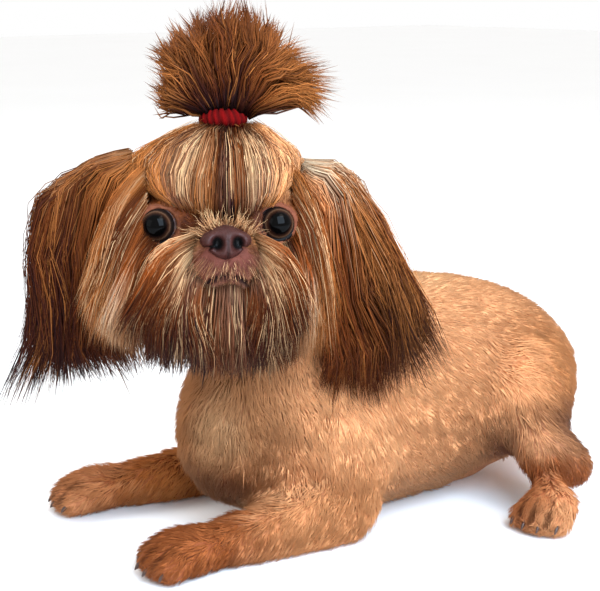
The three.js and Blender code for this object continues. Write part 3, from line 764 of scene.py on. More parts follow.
@dataclass
class Strands:
    """Tufts or locks, each a tapered closed body along a path, joined in one mesh."""

    name: str
    cut: Cut
    paths: Points
    outward: Points
    tones: Points
    spots: Points
    seed: int
    widths: Points | float = 1.0

    def build(self, slot: str, finish: Material) -> Piece:
        """Makes the mesh with its map and its colours, and lets it ride on the animal.

        Args:
            slot: Not used.
            finish: The material of the hair.

        Returns:
            The finished piece.
        """
        rng = np.random.default_rng(self.seed)
        paths = self.paths
        count, stations, _ = paths.shape
        along = unit(np.gradient(paths, axis=1))
        side = unit(np.cross(along, self.outward[:, None, :]))
        lift = np.cross(side, along)
        share = np.linspace(0, 1, stations)[None, :, None]
        full = (1 - share) ** self.cut.blunt * np.minimum(1, self.cut.root + share * 2.5)
        sizes = np.broadcast_to(self.widths, (count,)) * rng.uniform(0.7, 1.3, count)
        half = self.cut.width * MM / 2 * sizes[:, None, None] * full
        rings = np.stack([paths - side * half, paths + side * half, paths + lift * half * 2 * self.cut.flat], axis=2)
        corners = (stations - 1) * 3
        verts = np.concatenate([rings[:, :-1].reshape(count, corners, 3), paths[:, -1:]], axis=1)
        faces = self.faces_of_one(stations)
        per = corners + 1
        index = (faces[None] + (np.arange(count) * per)[:, None, None]).reshape(-1)
        mesh = bpy.data.meshes.new(self.name)
        mesh.vertices.add(count * per)
        mesh.vertices.foreach_set("co", verts.astype(np.float32).ravel())
        mesh.loops.add(len(index))
        mesh.loops.foreach_set("vertex_index", index.astype(np.int32))
        mesh.polygons.add(len(index) // 3)
        mesh.polygons.foreach_set("loop_start", np.arange(0, len(index), 3, dtype=np.int32))
        mesh.update(calc_edges=True)
        shaded_smooth(mesh)
        place = np.append(np.repeat(share[0, :, 0], 3)[:corners], 1.0)
        corner = np.append(np.tile([0.0, 1.0, 0.5], stations - 1), 0.5)
        patch = np.stack([corner, place], axis=1) * MAP_ROOM
        flat_map = (self.spots[:, None, :] * (1 - 2 * MAP_ROOM) + MAP_ROOM / 2 + patch[None]).reshape(-1, 2)
        uv = mesh.uv_layers.new(name="OFBake")
        uv.data.foreach_set("uv", flat_map[index].astype(np.float32).ravel())
        if self.tones.ndim == 2:
            self.tones = np.repeat(self.tones[:, None, :], stations, axis=1)
        cut = self.cut
        # Painted shade and light: each tuft is darker at its root, where the coat shades itself, and lighter towards
        # its tip; the rest varies at random.
        shade = cut.shaded_root + (cut.lit_tip - cut.shaded_root) * smooth(0, 0.6, share)
        shade = shade * rng.normal(1.0, cut.vary, (count, 1, 1)).clip(0.5, 1.6)
        tones = self.tones * shade
        tones = np.concatenate([np.repeat(tones[:, :-1], 3, axis=1), tones[:, -1:]], axis=1).clip(0.004, 1.0)
        carry_tones(mesh, tones.reshape(-1, 3))
        carry(mesh, "chance", np.repeat(rng.uniform(size=count), per))
        mesh.materials.append(finish)
        made = object_of(self.name, mesh)
        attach(made, "root")
        LOG.info("%s: %d tufts, %d triangles", self.name, count, len(index) // 3)
        return made

    @staticmethod
    def faces_of_one(stations: int) -> Points:
        """The triangles of one tuft: its sides, its tip and its root, all facing out."""
        faces = [(0, 1, 2)]
        for ring in range(stations - 2):
            for a, b in ((2, 1), (1, 0), (0, 2)):
                low, high = 3 * ring, 3 * ring + 3
                faces += [(low + a, low + b, high + b), (low + a, high + b, high + a)]
        last, tip = 3 * (stations - 2), 3 * (stations - 1)
        faces += [(last + a, last + b, tip) for a, b in ((2, 1), (1, 0), (0, 2))]
        return np.array(faces, np.int64)


@dataclass(frozen=True)
class Comb:
    """A pull on the lie of the coat round a place: which way the hair runs there."""

    at: Sequence[float]
    reach: float
    way: Sequence[float]


def leg_combs() -> tuple[Comb, ...]:
    """Combs along the legs and feet, from the legs' own lines."""
    made = []
    for name, side in (("left", 1), ("right", -1)):
        elbow, toward, _ = FORELEGS[name]
        for share in (0.1, 0.4, 0.7, 0.95):
            at = np.array(elbow) + FOREARM * share * forward(toward)
            made.append(Comb(at, 17, forward(toward) + (0, 0, -0.5)))
        foot = FEET[f"fore_{name}"]
        made.append(Comb(foot.middle(), 22, forward(foot.turn) + (0, 0, -0.35)))
        hip, knee, hock = (np.array(p) for p in HINDLEGS[name][:3])
        made.append(Comb((hip + knee) / 2, 34, (0.1 * side, 0.55, -1)))
        made.append(Comb(knee, 24, (0.1 * side, 0.5, -1)))
        made.append(Comb((knee + hock) / 2, 20, (hock - knee) / 60 + (0, 0, -0.6)))
        foot = FEET[f"hind_{name}"]
        made.append(Comb(foot.middle(), 26, forward(foot.turn) + (0, 0, -0.3)))
    return tuple(made)


BODY_COMBS = (
    Comb((-2, -70, 60), 34, (0.0, -0.1, -1.0)),
    Comb((34, -52, 70), 30, (0.55, 0.1, -1.0)),
    Comb((-34, -48, 70), 30, (-0.5, 0.1, -1.0)),
    Comb((20, -60, 36), 22, (-0.7, -0.2, -0.7)),
    Comb((-20, -56, 34), 22, (0.6, -0.2, -0.7)),
    Comb((0, -50, 110), 40, (0.0, 0.1, -1.0)),
    Comb((46, -20, 62), 26, (0.3, -0.1, -1.0)),
    Comb((0, 190, 70), 30, (0.0, 0.6, -1.0)),
)


class Groom:
    """Sets short tufts on the skin and combs them over it."""

    def __init__(self, skin: Skin) -> None:
        """Keeps the skin's faces, to scatter roots on."""
        self.tree = skin.tree
        mesh = skin.obj.data
        mesh.calc_loop_triangles()
        self.faces = read(mesh.loop_triangles, "vertices", 3, np.int32)
        self.spots = spots_of(mesh)
        a, b, c = (self.spots[self.faces[:, k]] for k in range(3))
        cross = np.cross(b - a, c - a)
        self.area = np.linalg.norm(cross, axis=1) / 2
        self.middle = (a + b + c) / 3
        self.normal = unit(cross)
        self.combs = BODY_COMBS + leg_combs()

    def scatter(self, count: int, weight: Points, rng: np.random.Generator) -> tuple[Points, Points]:
        """Roots spread over the skin, closer where the weight of a face is more.

        Args:
            count: How many roots.
            weight: The density on each face, from 0 to 1.
            rng: The source of chance.

        Returns:
            The roots and the skin's normals there.
        """
        sums = np.cumsum(self.area * weight)
        picks = (np.arange(count) + rng.uniform(size=count)) / count * sums[-1]
        chosen = np.searchsorted(sums, picks).clip(0, len(sums) - 1)
        u, v = rng.uniform(size=(2, count, 1))
        over = u + v > 1
        u, v = np.where(over, 1 - u, u), np.where(over, 1 - v, v)
        a, b, c = (self.spots[self.faces[chosen, k]] for k in range(3))
        return a + (b - a) * u + (c - a) * v, self.normal[chosen]

    def nearest(self, places: Points) -> tuple[Points, Points]:
        """The skin's nearest place and its normal for each place."""
        found = [self.tree.find_nearest(Vector(p)) for p in places]
        return np.array([f[0] for f in found]), np.array([f[1] for f in found])

    def body_lie(self, spots: Points, normals: Points) -> Points:
        """Which way the body's coat runs, along the skin."""
        places = STANCE.to_body(spots)
        down = -0.15 - 0.95 * np.abs(normals[:, 0])
        ways = unit(np.stack([np.zeros(len(places)), np.full(len(places), 1.0), down], axis=1))
        total = np.ones((len(places), 1))
        for comb in self.combs:
            near = bell(np.linalg.norm(places - np.array(comb.at), axis=1), comb.reach)[:, None] * 6
            ways = ways + near * unit(np.array(comb.way, float))
            total += near
        return self.along_skin(self.swirled(ways / total, places, 0.34), normals)

    @staticmethod
    def swirled(ways: Points, places: Points, turn: float) -> Points:
        """Turns directions a little here and there, as a coat lies."""
        drift = np.stack([ripple(places, 26, 50 + k) for k in range(3)], axis=1)
        fine = np.stack([ripple(places, 9, 60 + k) for k in range(3)], axis=1)
        return unit(ways) + turn * drift * 0.6 + turn * fine * 0.5

    @staticmethod
    def along_skin(ways: Points, normals: Points) -> Points:
        """Directions laid flat on the skin."""
        return unit(ways - normals * (ways * normals).sum(axis=1, keepdims=True))

    def laid(
        self,
        roots: Points,
        normals: Points,
        lie: Callable[[Points, Points], Points],
        length: Points,
        height: Points,
        stations: int,
        rng: np.random.Generator,
    ) -> Points:
        """Paths that leave the skin and lie over it.

        Args:
            roots: Where they grow.
            normals: The skin's normals there.
            lie: The way of the coat, given places and normals.
            length: Each tuft's length, in metres.
            height: How high each tip stands over the skin, in metres.
            stations: Points along a path.
            rng: The source of chance.

        Returns:
            The paths, one row of points for each root.
        """
        paths = [roots - normals * 0.7 * MM]
        at, face = roots, normals
        scatter = rng.normal(0, 0.16, roots.shape)
        for step in range(1, stations):
            share = step / (stations - 1)
            way = unit(lie(at, face) + scatter)
            at, face = self.nearest(at + way * (length / (stations - 1))[:, None])
            paths.append(at + face * (height * share**0.7)[:, None])
        return np.stack(paths, axis=1)


def gathered(paths: Points, clumps: int, pinch: float, rng: np.random.Generator) -> tuple[Points, Points]:
    """Draws the tips of neighbouring tufts together.

    Args:
        paths: The tufts' paths.
        clumps: How many groups they fall into.
        pinch: How far the tips come together, from 0 to 1.
        rng: The source of chance.

    Returns:
        The changed paths, and the group of each tuft.
    """
    heads = rng.choice(len(paths), min(clumps, len(paths)), replace=False)
    tree = KDTree(len(heads))
    middle = paths.shape[1] // 2
    for k, head in enumerate(heads):
        tree.insert(Vector(paths[head, middle]), k)
    tree.balance()
    group = np.array([tree.find(Vector(p))[1] for p in paths[:, middle]])
    lead = paths[heads[group]]
    share = np.linspace(0, 1, paths.shape[1])[None, :, None] ** 1.5
    return paths + (lead - paths) * (share * pinch), group


@dataclass(frozen=True)
class Sheet:
    """A sheet of hair: a place that it faces away from, and rows of guide points from roots to tips."""

    hub: Spot
    rows: tuple

    def guides(self, across: Points) -> Points:
        """The guide points of strands, one row of them for each share across the sheet."""
        return np.stack([spline(row, across) for row in self.rows], axis=1)


def run_through(guides: Points, share: Points) -> Points:
    """Places along smooth curves through each strand's own guide points.

    Args:
        guides: The guide points, one row for each strand.
        share: How far along, from 0 to 1, one row for each strand.

    Returns:
        The places, one row for each strand.
    """
    before, after = 2 * guides[:, :1] - guides[:, 1:2], 2 * guides[:, -1:] - guides[:, -2:-1]
    stops = np.concatenate([before, guides, after], axis=1)
    at = np.clip(share, 0, 1) * (guides.shape[1] - 1)
    low = np.minimum(at.astype(int), guides.shape[1] - 2)
    t = (at - low)[:, :, None]
    a, b, c, d = (np.take_along_axis(stops, (low + k)[:, :, None], axis=1) for k in range(4))
    return 0.5 * (2 * b + (c - a) * t + (2 * a - 5 * b + 4 * c - d) * t**2 + (3 * b - a - 3 * c + d) * t**3)


def folded(values: Points) -> Points:
    """Brings values that run a little past 0 or 1 back in, as if the ends were mirrors."""
    return 1 - np.abs(1 - np.abs(values)).clip(0, 1)


@dataclass(frozen=True)
class Shade:
    """The tones of a tress at one share of its width: at the roots, half way and at the tips."""

    at: float
    root: Tone
    middle: Tone
    tip: Tone


@dataclass
class Tress:
    """Long hair that fills the room between its sheets, from front to back.

    The pinch draws a clump's strands together. Wave and fray are millimetres, and waves counts the
    swings. Short, streaks and under are shares: of length that some strands lack, of light strands
    and of wide ones beneath, whose tone dark scales down as painted shade in the depth of the tress.
    Locks is the number of ends that the tips are drawn into.
    """

    name: str
    sheets: tuple[Sheet, ...]
    shades: tuple[Shade, ...]
    count: int
    clumps: int
    cut: Cut
    seed: int
    pinch: float = 0.6
    wave: float = 1.2
    waves: float = 1.2
    short: float = 0.3
    fray: float = 2.0
    streak: Tone = PALE
    streaks: float = 0.15
    under: float = 0.3
    # painted shade of the wide strands beneath: the share of their tone that is kept
    dark: float = 0.55
    locks: int = 0
    body_frame: bool = False

    def grown(self) -> Strands:
        """Lays out every lock of the tress, in the row frame."""
        rng = np.random.default_rng(self.seed)
        count = self.count
        lead_s = (np.arange(self.clumps) + rng.uniform(size=self.clumps)) / self.clumps
        lead_d = rng.uniform(size=self.clumps)
        group = rng.integers(0, self.clumps, count)
        s = folded(lead_s[group] + rng.normal(0, 2.2 / self.clumps, count))
        d = folded(lead_d[group] + rng.normal(0, 0.16, count))
        long = (1 - self.short * rng.uniform(size=self.clumps) ** 2)[group]
        long = long * (1 - 0.6 * self.short * rng.uniform(size=count) ** 2)
        share = np.linspace(0, 1, self.cut.stations)[None] ** self.cut.early
        along = share * long[:, None]
        paths = run_through(self.guides(s, d), along)
        leads = run_through(self.guides(lead_s[group], lead_d[group]), along)
        hold = self.pinch * rng.uniform(0.5, 1.1, (count, 1, 1)) * along[:, :, None] ** 1.3
        paths = paths + (leads - paths) * hold
        if self.locks:
            place = (np.arange(self.locks) + 0.5) / self.locks
            lock = np.abs(lead_s[group][:, None] - place).argmin(axis=1)
            drawn = run_through(self.guides(place[lock], np.full(count, 0.4)), along)
            paths = paths + (drawn - paths) * 0.3 * along[:, :, None] ** 2.5
        paths = paths + rng.normal(0, self.fray, (count, 1, 3)) * along[:, :, None] ** 1.6
        paths = paths + rng.normal(0, 0.7, (count, 1, 3))
        run = paths[:, -1] - paths[:, 0]
        away = paths[:, self.cut.stations // 2] - self.hubs(d)
        away = unit(away - run * ((away * run).sum(1) / (run * run).sum(1))[:, None])
        paths = self.waved(paths, run, away, group, rng)
        shaded_under = rng.uniform(size=count) < self.under
        sunk = 1.4 * (1 - smooth(0, 0.1, share)) + 1.8 * shaded_under[:, None] * smooth(0, 0.3, share)
        paths = paths - away[:, None] * sunk[:, :, None]
        # Painted shade: the wide strands beneath are darkened, as the depth of the tress is shaded.
        tones = self.toned(s, group, rng) * np.where(shaded_under, self.dark, 1.0)[:, None, None]
        widths = np.where(shaded_under, 2.4, 0.85)
        place = STANCE.body if self.body_frame else STANCE.head
        turned = away if self.body_frame else STANCE.head_way(away)
        flat = 0.02 + 0.96 * np.stack([s, d], axis=1)
        return Strands(self.name, self.cut, place(paths), turned, tones, flat, self.seed + 1, widths)

    def between(self, d: Points, values: Points) -> Points:
        """Blends what the sheets give, for shares through the tress from front to back."""
        at = d * (len(self.sheets) - 1)
        low = np.minimum(at.astype(int), max(len(self.sheets) - 2, 0))
        high = np.minimum(low + 1, len(self.sheets) - 1)
        each = np.arange(len(d))
        mix = (at - low).reshape((-1,) + (1,) * (values.ndim - 2))
        return values[low, each] * (1 - mix) + values[high, each] * mix

    def guides(self, s: Points, d: Points) -> Points:
        """The guide points of strands at shares across and through the tress."""
        return self.between(d, np.stack([sheet.guides(s) for sheet in self.sheets]))

    def hubs(self, d: Points) -> Points:
        """The places that strands face away from."""
        hubs = np.array([sheet.hub for sheet in self.sheets], float)
        return self.between(d, np.repeat(hubs[:, None], len(d), axis=1))

    def waved(self, paths: Points, run: Points, away: Points, group: Points, rng: np.random.Generator) -> Points:
        """Adds the hair's waves, more towards the tips, alike within a clump."""
        side = unit(np.cross(run, away))[:, None]
        share = np.linspace(0, 1, paths.shape[1])[None, :]
        phase = rng.uniform(0, 2 * np.pi, (2, self.clumps))
        size = rng.uniform(0.4, 1.3, self.clumps) * self.wave
        loose = rng.normal(0, 0.35, (2, self.count, 1))
        swing = share * (2 * np.pi * self.waves) + phase[0, group][:, None] + loose[0]
        sway = share * (2.6 * np.pi * self.waves) + phase[1, group][:, None] + loose[1]
        grow = share**1.2 * size[group][:, None]
        flat = paths.reshape(-1, 3)
        drift = np.stack([ripple(flat, 34, self.seed + k) for k in range(3)], axis=1).reshape(paths.shape)
        paths = paths + drift * (share * self.wave * 1.1)[:, :, None]
        paths = paths + side * ((np.sin(swing) - np.sin(swing[:, :1])) * grow)[:, :, None]
        return paths + away[:, None] * ((np.sin(sway) - np.sin(sway[:, :1])) * grow * 0.6)[:, :, None]

    def toned(self, s: Points, group: Points, rng: np.random.Generator) -> Points:
        """The colour of each lock along its length."""
        drift = rng.normal(0, 0.03, self.clumps)[group] + rng.normal(0, 0.02, self.count)
        at = (s + drift).clip(0, 1)
        stops = [shade.at for shade in self.shades]
        columns = []
        for part in ("root", "middle", "tip"):
            table = np.array([getattr(shade, part).linear for shade in self.shades])
            columns.append(np.stack([np.interp(at, stops, table[:, k]) for k in range(3)], axis=1))
        share = np.linspace(0, 1, self.cut.stations)
        slide = (share[None] + rng.normal(0, 0.1, (self.count, 1))).clip(0, 1)[:, :, None]
        low = np.clip(slide * 2, 0, 1)
        high = np.clip(slide * 2 - 1, 0, 1)
        root, middle, tip = (column[:, None] for column in columns)
        tones = root * (1 - low) + middle * low * (1 - high) + tip * high
        light = rng.uniform(size=self.clumps)[group] < self.streaks
        light = light | (rng.uniform(size=self.count) < self.streaks * 0.6)
        mix = (light * rng.uniform(0.2, 0.7, self.count))[:, None, None]
        tones = tones * (1 - mix) + self.streak.linear * mix
        return tones * rng.normal(1, 0.11, self.clumps).clip(0.6, 1.4)[group][:, None, None]


def even(root: Tone, middle: Tone, tip: Tone) -> tuple[Shade, ...]:
    """Shades that don't change across a tress."""
    return (Shade(0.0, root, middle, tip), Shade(1.0, root, middle, tip))


# Long hair. Each row of a sheet holds guide points across it, and the rows run from roots to tips.
FACE_CUT = Cut(width=0.66, stations=6, blunt=0.7, root=0.35, vary=0.12)
TEMPLE_CUT = Cut(width=0.6, stations=6, blunt=0.6, root=0.35, vary=0.18, shaded_root=0.96, lit_tip=1.0)
FINE_CUT = Cut(width=0.34, stations=5, blunt=0.6, root=0.35, vary=0.12)
WISP_CUT = Cut(width=0.3, stations=8, blunt=0.4, root=0.5, vary=0.2, shaded_root=1.0)
LONG_CUT = Cut(width=0.85, stations=8, early=1.4, blunt=0.5, root=0.35, vary=0.09, shaded_root=0.88)
DRAWN_CUT = Cut(width=0.62, stations=6, blunt=0.3, root=0.35, vary=0.26, shaded_root=0.7, lit_tip=1.0)
FAN_CUT = Cut(width=0.8, stations=6, blunt=0.45, root=0.8, vary=0.14, shaded_root=0.55)

HEAD_HUB = (0, 0, 10)
FACE_HUB = (0, -10, 0)
LOW_HUB = (0, -8, -20)
FAN_HUB = (3, -2, 50)
TEMPLE_HUB = (0, 10, -10)
FRILL_HUB = (0, -30, 0)

BROW_SHEETS = (
    Sheet(HEAD_HUB, (
        ((-29, -37, 19), (-24, -40, 17), (-18, -42, 14), (-10, -44, 11), (0, -45, 10),
         (9, -45, 11), (16, -43, 14), (22, -41, 16), (27, -37, 19)),
        ((-36, -24, 26), (-32, -34, 25), (-23, -40, 24), (-11, -43, 23), (1, -43, 23),
         (10, -43, 23), (20, -41, 24), (27, -35, 25), (33, -25, 26)),
        ((-37, -9, 39), (-29, -22, 40), (-18, -29, 40), (-7, -34, 40), (1, -35, 39),
         (9, -34, 40), (19, -29, 40), (28, -21, 40), (34, -9, 40)),
        ((-23, -8, 49), (-18, -14, 49), (-12, -20, 48), (-4, -24, 47), (2, -25, 47),
         (8, -24, 47), (15, -19, 48), (21, -14, 49), (26, -8, 49)),
        ((-6, -6, 55), (-5, -10, 53), (-2, -12, 53), (1, -13, 52), (4, -13, 52),
         (7, -13, 52), (10, -12, 53), (13, -10, 53), (15, -6, 54)),
    )),
    Sheet(HEAD_HUB, (
        ((-43, -8, 32), (-36, -24, 24), (-28, -36, 21), (-13, -42, 16), (0, -43, 14),
         (10, -42, 16), (21, -40, 19), (30, -30, 23), (39, -8, 32)),
        ((-47, -3, 37), (-38, -18, 35), (-25, -33, 32), (-9, -39, 30), (0, -40, 29),
         (9, -39, 30), (21, -34, 33), (33, -19, 35), (43, -3, 37)),
        ((-34, -5, 45), (-27, -14, 45), (-17, -24, 44), (-6, -30, 42), (1, -31, 42),
         (8, -30, 42), (17, -25, 43), (26, -14, 44), (32, -5, 45)),
        ((-19, -5, 51), (-15, -12, 51), (-9, -18, 49), (-4, -20, 49), (1, -21, 48),
         (7, -20, 49), (13, -18, 49), (19, -12, 51), (23, -5, 51)),
        ((-7, -6, 55), (-5, -10, 53), (-3, -12, 53), (1, -13, 52), (4, -13, 52),
         (7, -13, 52), (10, -12, 53), (13, -10, 53), (16, -6, 54)),
    )),
    Sheet(HEAD_HUB, (
        ((-42, -3, 39), (-33, -20, 37), (-22, -30, 35), (-9, -37, 32), (0, -38, 31),
         (9, -37, 32), (22, -31, 35), (31, -20, 36), (39, -3, 39)),
        ((-36, -3, 44), (-29, -16, 43), (-19, -26, 42), (-7, -33, 40), (1, -34, 39),
         (8, -33, 40), (19, -27, 41), (28, -16, 43), (34, -3, 44)),
        ((-28, -4, 49), (-22, -13, 48), (-14, -22, 47), (-6, -26, 45), (1, -27, 45),
         (8, -26, 45), (17, -22, 46), (23, -13, 48), (29, -4, 48)),
        ((-18, -5, 52), (-14, -11, 52), (-9, -16, 50), (-4, -18, 50), (2, -19, 49),
         (7, -18, 50), (13, -16, 50), (19, -11, 51), (22, -5, 52)),
        ((-6, -5, 55), (-5, -9, 53), (-2, -11, 53), (1, -12, 53), (4, -12, 53),
         (7, -12, 53), (10, -11, 53), (13, -9, 54), (15, -5, 54)),
    )),
)
CROWN_SHEETS = (
    Sheet(HEAD_HUB, (
        ((40, -12, 24), (41, 8, 22), (32, 30, 16), (0, 42, 10), (-32, 30, 16), (-41, 8, 22), (-40, -12, 24)),
        ((36, -10, 40), (36, 8, 38), (28, 27, 34), (0, 36, 30), (-28, 27, 34), (-36, 8, 38), (-38, -10, 40)),
        ((20, -8, 52), (19, 5, 51), (13, 14, 50), (1, 18, 48), (-11, 14, 50), (-17, 5, 51), (-18, -8, 52)),
        ((12, -5, 55), (11, 2, 55), (8, 5, 55), (2, 6, 55), (-4, 5, 55), (-8, 2, 55), (-9, -5, 55)),
    )),
    Sheet(HEAD_HUB, (
        ((38, -10, 34), (38, 8, 32), (30, 28, 27), (0, 38, 22), (-30, 28, 27), (-38, 8, 32), (-38, -10, 34)),
        ((29, -9, 46), (29, 7, 44), (21, 21, 42), (0, 28, 39), (-20, 21, 42), (-28, 7, 44), (-29, -9, 46)),
        ((18, -7, 52), (17, 5, 51), (11, 12, 50), (1, 15, 49), (-9, 12, 50), (-15, 5, 51), (-16, -7, 52)),
        ((11, -5, 55), (10, 2, 55), (8, 4, 55), (2, 5, 55), (-4, 4, 55), (-7, 2, 55), (-8, -5, 55)),
    )),
)
NAPE_SHEETS = (
    Sheet(HEAD_HUB, (
        ((40, 4, 20), (38, 18, 20), (24, 33, 22), (0, 40, 22), (-24, 33, 22), (-38, 18, 20), (-40, 4, 20)),
        ((44, 8, 0), (42, 24, 0), (27, 42, 0), (0, 49, 0), (-27, 42, 0), (-42, 24, 0), (-43, 8, 0)),
        ((50, 10, -24), (51, 31, -24), (36, 52, -22), (0, 56, -22), (-29, 48, -24), (-43, 28, -26), (-44, 9, -26)),
        ((56, 10, -46), (62, 38, -44), (46, 66, -38), (0, 64, -42), (-30, 54, -46), (-44, 32, -48), (-45, 10, -50)),
    )),
    Sheet(HEAD_HUB, (
        ((38, 6, -2), (37, 22, -2), (25, 36, -2), (0, 42, -2), (-25, 36, -2), (-37, 22, -2), (-38, 6, -2)),
        ((43, 8, -20), (42, 28, -20), (28, 44, -18), (0, 50, -18), (-27, 44, -20), (-41, 28, -20), (-41, 8, -20)),
        ((50, 8, -38), (53, 33, -36), (40, 56, -32), (0, 56, -34), (-30, 50, -38), (-42, 30, -40), (-42, 8, -40)),
        ((56, 6, -54), (62, 38, -52), (48, 66, -46), (0, 62, -50), (-32, 54, -54), (-43, 32, -56), (-43, 8, -58)),
    )),
)
BROW_SHADES = (
    Shade(0.0, GOLD, GOLD, GOLD),
    Shade(0.14, GOLD, GOLD, CHESTNUT),
    Shade(0.20, MAUVE, FAWN, UMBER),
    Shade(0.25, CHESTNUT, SMOKE, UMBER),
    Shade(0.29, CHESTNUT, PALE, CHESTNUT),
    Shade(0.35, CHESTNUT, FAWN, CHESTNUT),
    Shade(0.39, GOLD, CHESTNUT, UMBER),
    Shade(0.44, UMBER, UMBER, SABLE),
    Shade(0.48, UMBER, SMOKE, SABLE),
    Shade(0.51, SABLE, SABLE, SABLE),
    Shade(0.55, SABLE, UMBER, SABLE),
    Shade(0.575, CHESTNUT, FAWN, UMBER),
    Shade(0.60, CHESTNUT, CHESTNUT, UMBER),
    Shade(0.64, UMBER, CHESTNUT, CHESTNUT),
    Shade(0.69, CHESTNUT, PALE, CHESTNUT),
    Shade(0.73, MAUVE, PALE, CHESTNUT),
    Shade(0.765, CHESTNUT, SMOKE, UMBER),
    Shade(0.83, GOLD, APRICOT, GOLD),
    Shade(1.0, GOLD, APRICOT, GOLD),
)
WISP_SHEETS = (
    Sheet(HEAD_HUB, (
        ((-10, -14, 53), (-7, -16, 52), (11, -16, 52), (15, -14, 53)),
        ((-25, -18, 48), (-21, -24, 46), (18, -24, 46), (23, -20, 47)),
        ((-36, -18, 39), (-30, -29, 38), (27, -27, 40), (33, -18, 40)),
        ((-39, -26, 31), (-33, -37, 29), (30, -34, 31), (35, -26, 31)),
        ((-34, -36, 16), (-25, -42, 16), (22, -43, 15), (30, -38, 16)),
    )),
)
RIGHT_EAR = (
    Sheet((-40, 50, -20), (
        ((-41, -22, 32), (-44, -16, 36), (-45, -10, 38), (-42, -4, 39)),
        ((-49, -24, 11), (-59, -20, 21), (-70, -14, 28), (-78, -6, 26)),
        ((-54, -24, -25), (-67, -20, -17), (-80, -16, -8), (-94, -8, 3)),
        ((-52, -20, -52), (-68, -18, -50), (-81, -14, -47), (-90, -10, -43)),
        ((-48, -16, -70), (-65, -14, -72), (-85, -12, -76), (-114, -10, -90)),
    )),
    Sheet((-34, 0, -30), (
        ((-42, 6, 36), (-44, 8, 39), (-45, 6, 41), (-43, 2, 39)),
        ((-50, 6, 15), (-61, 4, 26), (-71, 2, 32), (-78, 0, 28)),
        ((-50, 6, -27), (-67, 2, -17), (-81, 0, -4), (-95, -2, 1)),
        ((-45, 4, -52), (-66, 0, -51), (-81, -2, -46), (-91, -4, -43)),
        ((-36, 4, -73), (-58, 0, -74), (-82, -4, -77), (-111, -6, -91)),
    )),
    Sheet((-40, -50, -20), (
        ((-43, 22, 38), (-46, 20, 41), (-46, 16, 42), (-43, 12, 40)),
        ((-51, 26, 15), (-62, 25, 26), (-72, 22, 31), (-79, 17, 27)),
        ((-52, 22, -28), (-68, 22, -19), (-82, 20, -6), (-95, 15, -2)),
        ((-49, 18, -54), (-66, 18, -53), (-82, 15, -48), (-91, 10, -46)),
        ((-41, 12, -73), (-62, 10, -75), (-81, 6, -77), (-108, -2, -88)),
    )),
)
LEFT_EAR = (
    Sheet((40, 50, -20), (
        ((39, -22, 25), (41, -16, 30), (42, -10, 34), (40, -4, 35)),
        ((44, -24, 6), (51, -20, 17), (58, -14, 23), (64, -6, 28)),
        ((47, -24, -32), (57, -22, -25), (70, -18, -14), (81, -10, -2)),
        ((48, -22, -61), (63, -20, -58), (81, -18, -50), (95, -12, -36)),
        ((48, -18, -81), (63, -16, -88), (86, -14, -87), (117, -12, -71)),
    )),
    Sheet((34, 0, -30), (
        ((41, 6, 26), (43, 8, 31), (43, 6, 35), (40, 2, 36)),
        ((47, 6, 9), (55, 4, 20), (62, 2, 26), (67, 0, 29)),
        ((48, 6, -34), (61, 2, -24), (74, 0, -10), (84, -2, -4)),
        ((48, 4, -65), (66, 0, -60), (86, -2, -47), (102, -4, -38)),
        ((45, 4, -84), (65, 0, -88), (91, -4, -86), (119, -6, -68)),
    )),
    Sheet((40, -50, -20), (
        ((42, 22, 29), (43, 20, 33), (43, 16, 36), (40, 12, 36)),
        ((49, 26, 10), (57, 25, 21), (63, 22, 27), (68, 17, 29)),
        ((51, 22, -36), (65, 22, -26), (76, 20, -12), (85, 15, -7)),
        ((51, 18, -65), (70, 18, -61), (87, 15, -52), (101, 10, -42)),
        ((49, 12, -81), (71, 10, -86), (93, 6, -82), (110, -2, -74)),
    )),
)
RIGHT_EAR_SHADES = (
    Shade(0.0, GOLD, CHESTNUT, UMBER),
    Shade(0.3, GOLD, CHESTNUT, SABLE),
    Shade(0.55, GOLD, UMBER, SABLE),
    Shade(0.8, FAWN, CHESTNUT, SABLE),
    Shade(1.0, FAWN, UMBER, SABLE),
)
LEFT_EAR_SHADES = (
    Shade(0.0, GOLD, RUST, UMBER),
    Shade(0.3, APRICOT, CHESTNUT, UMBER),
    Shade(0.55, CREAM, CHESTNUT, UMBER),
    Shade(0.78, CREAM, GOLD, SABLE),
    Shade(1.0, CREAM, CHESTNUT, SABLE),
)
TEMPLE_RIGHT = (
    Sheet(TEMPLE_HUB, (
        ((-36, -22, 36), (-38, -28, 27), (-37, -35, 18), (-38, -36, 6)),
        ((-53, -32, 16), (-53, -34, 6), (-50, -40, -5), (-46, -42, -11)),
        ((-61, -34, -10), (-60, -36, -21), (-58, -42, -28), (-53, -44, -33)),
        ((-69, -32, -33), (-66, -34, -41), (-62, -38, -46), (-57, -40, -50)),
    )),
    Sheet(TEMPLE_HUB, (
        ((-37, -12, 36), (-39, -18, 26), (-39, -25, 17), (-41, -28, 6)),
        ((-55, -24, 16), (-55, -26, 5), (-53, -30, -5), (-49, -32, -14)),
        ((-63, -26, -12), (-62, -28, -24), (-59, -32, -32), (-55, -34, -39)),
        ((-69, -24, -35), (-66, -26, -44), (-63, -30, -51), (-55, -32, -53)),
    )),
)
TEMPLE_LEFT = (
    Sheet(TEMPLE_HUB, (
        ((34, -20, 35), (35, -26, 25), (34, -33, 15), (34, -35, 3)),
        ((43, -28, 14), (43, -32, 4), (41, -38, -6), (38, -42, -15)),
        ((46, -30, -13), (47, -33, -24), (44, -38, -31), (40, -42, -37)),
        ((49, -28, -40), (49, -30, -51), (44, -36, -57), (38, -40, -60)),
    )),
    Sheet(TEMPLE_HUB, (
        ((36, -11, 34), (37, -16, 25), (37, -23, 14), (37, -26, 3)),
        ((45, -20, 14), (46, -22, 3), (44, -28, -7), (41, -32, -15)),
        ((49, -22, -13), (50, -24, -24), (47, -28, -33), (43, -32, -40)),
        ((52, -20, -44), (52, -22, -55), (47, -28, -61), (40, -32, -65)),
    )),
)
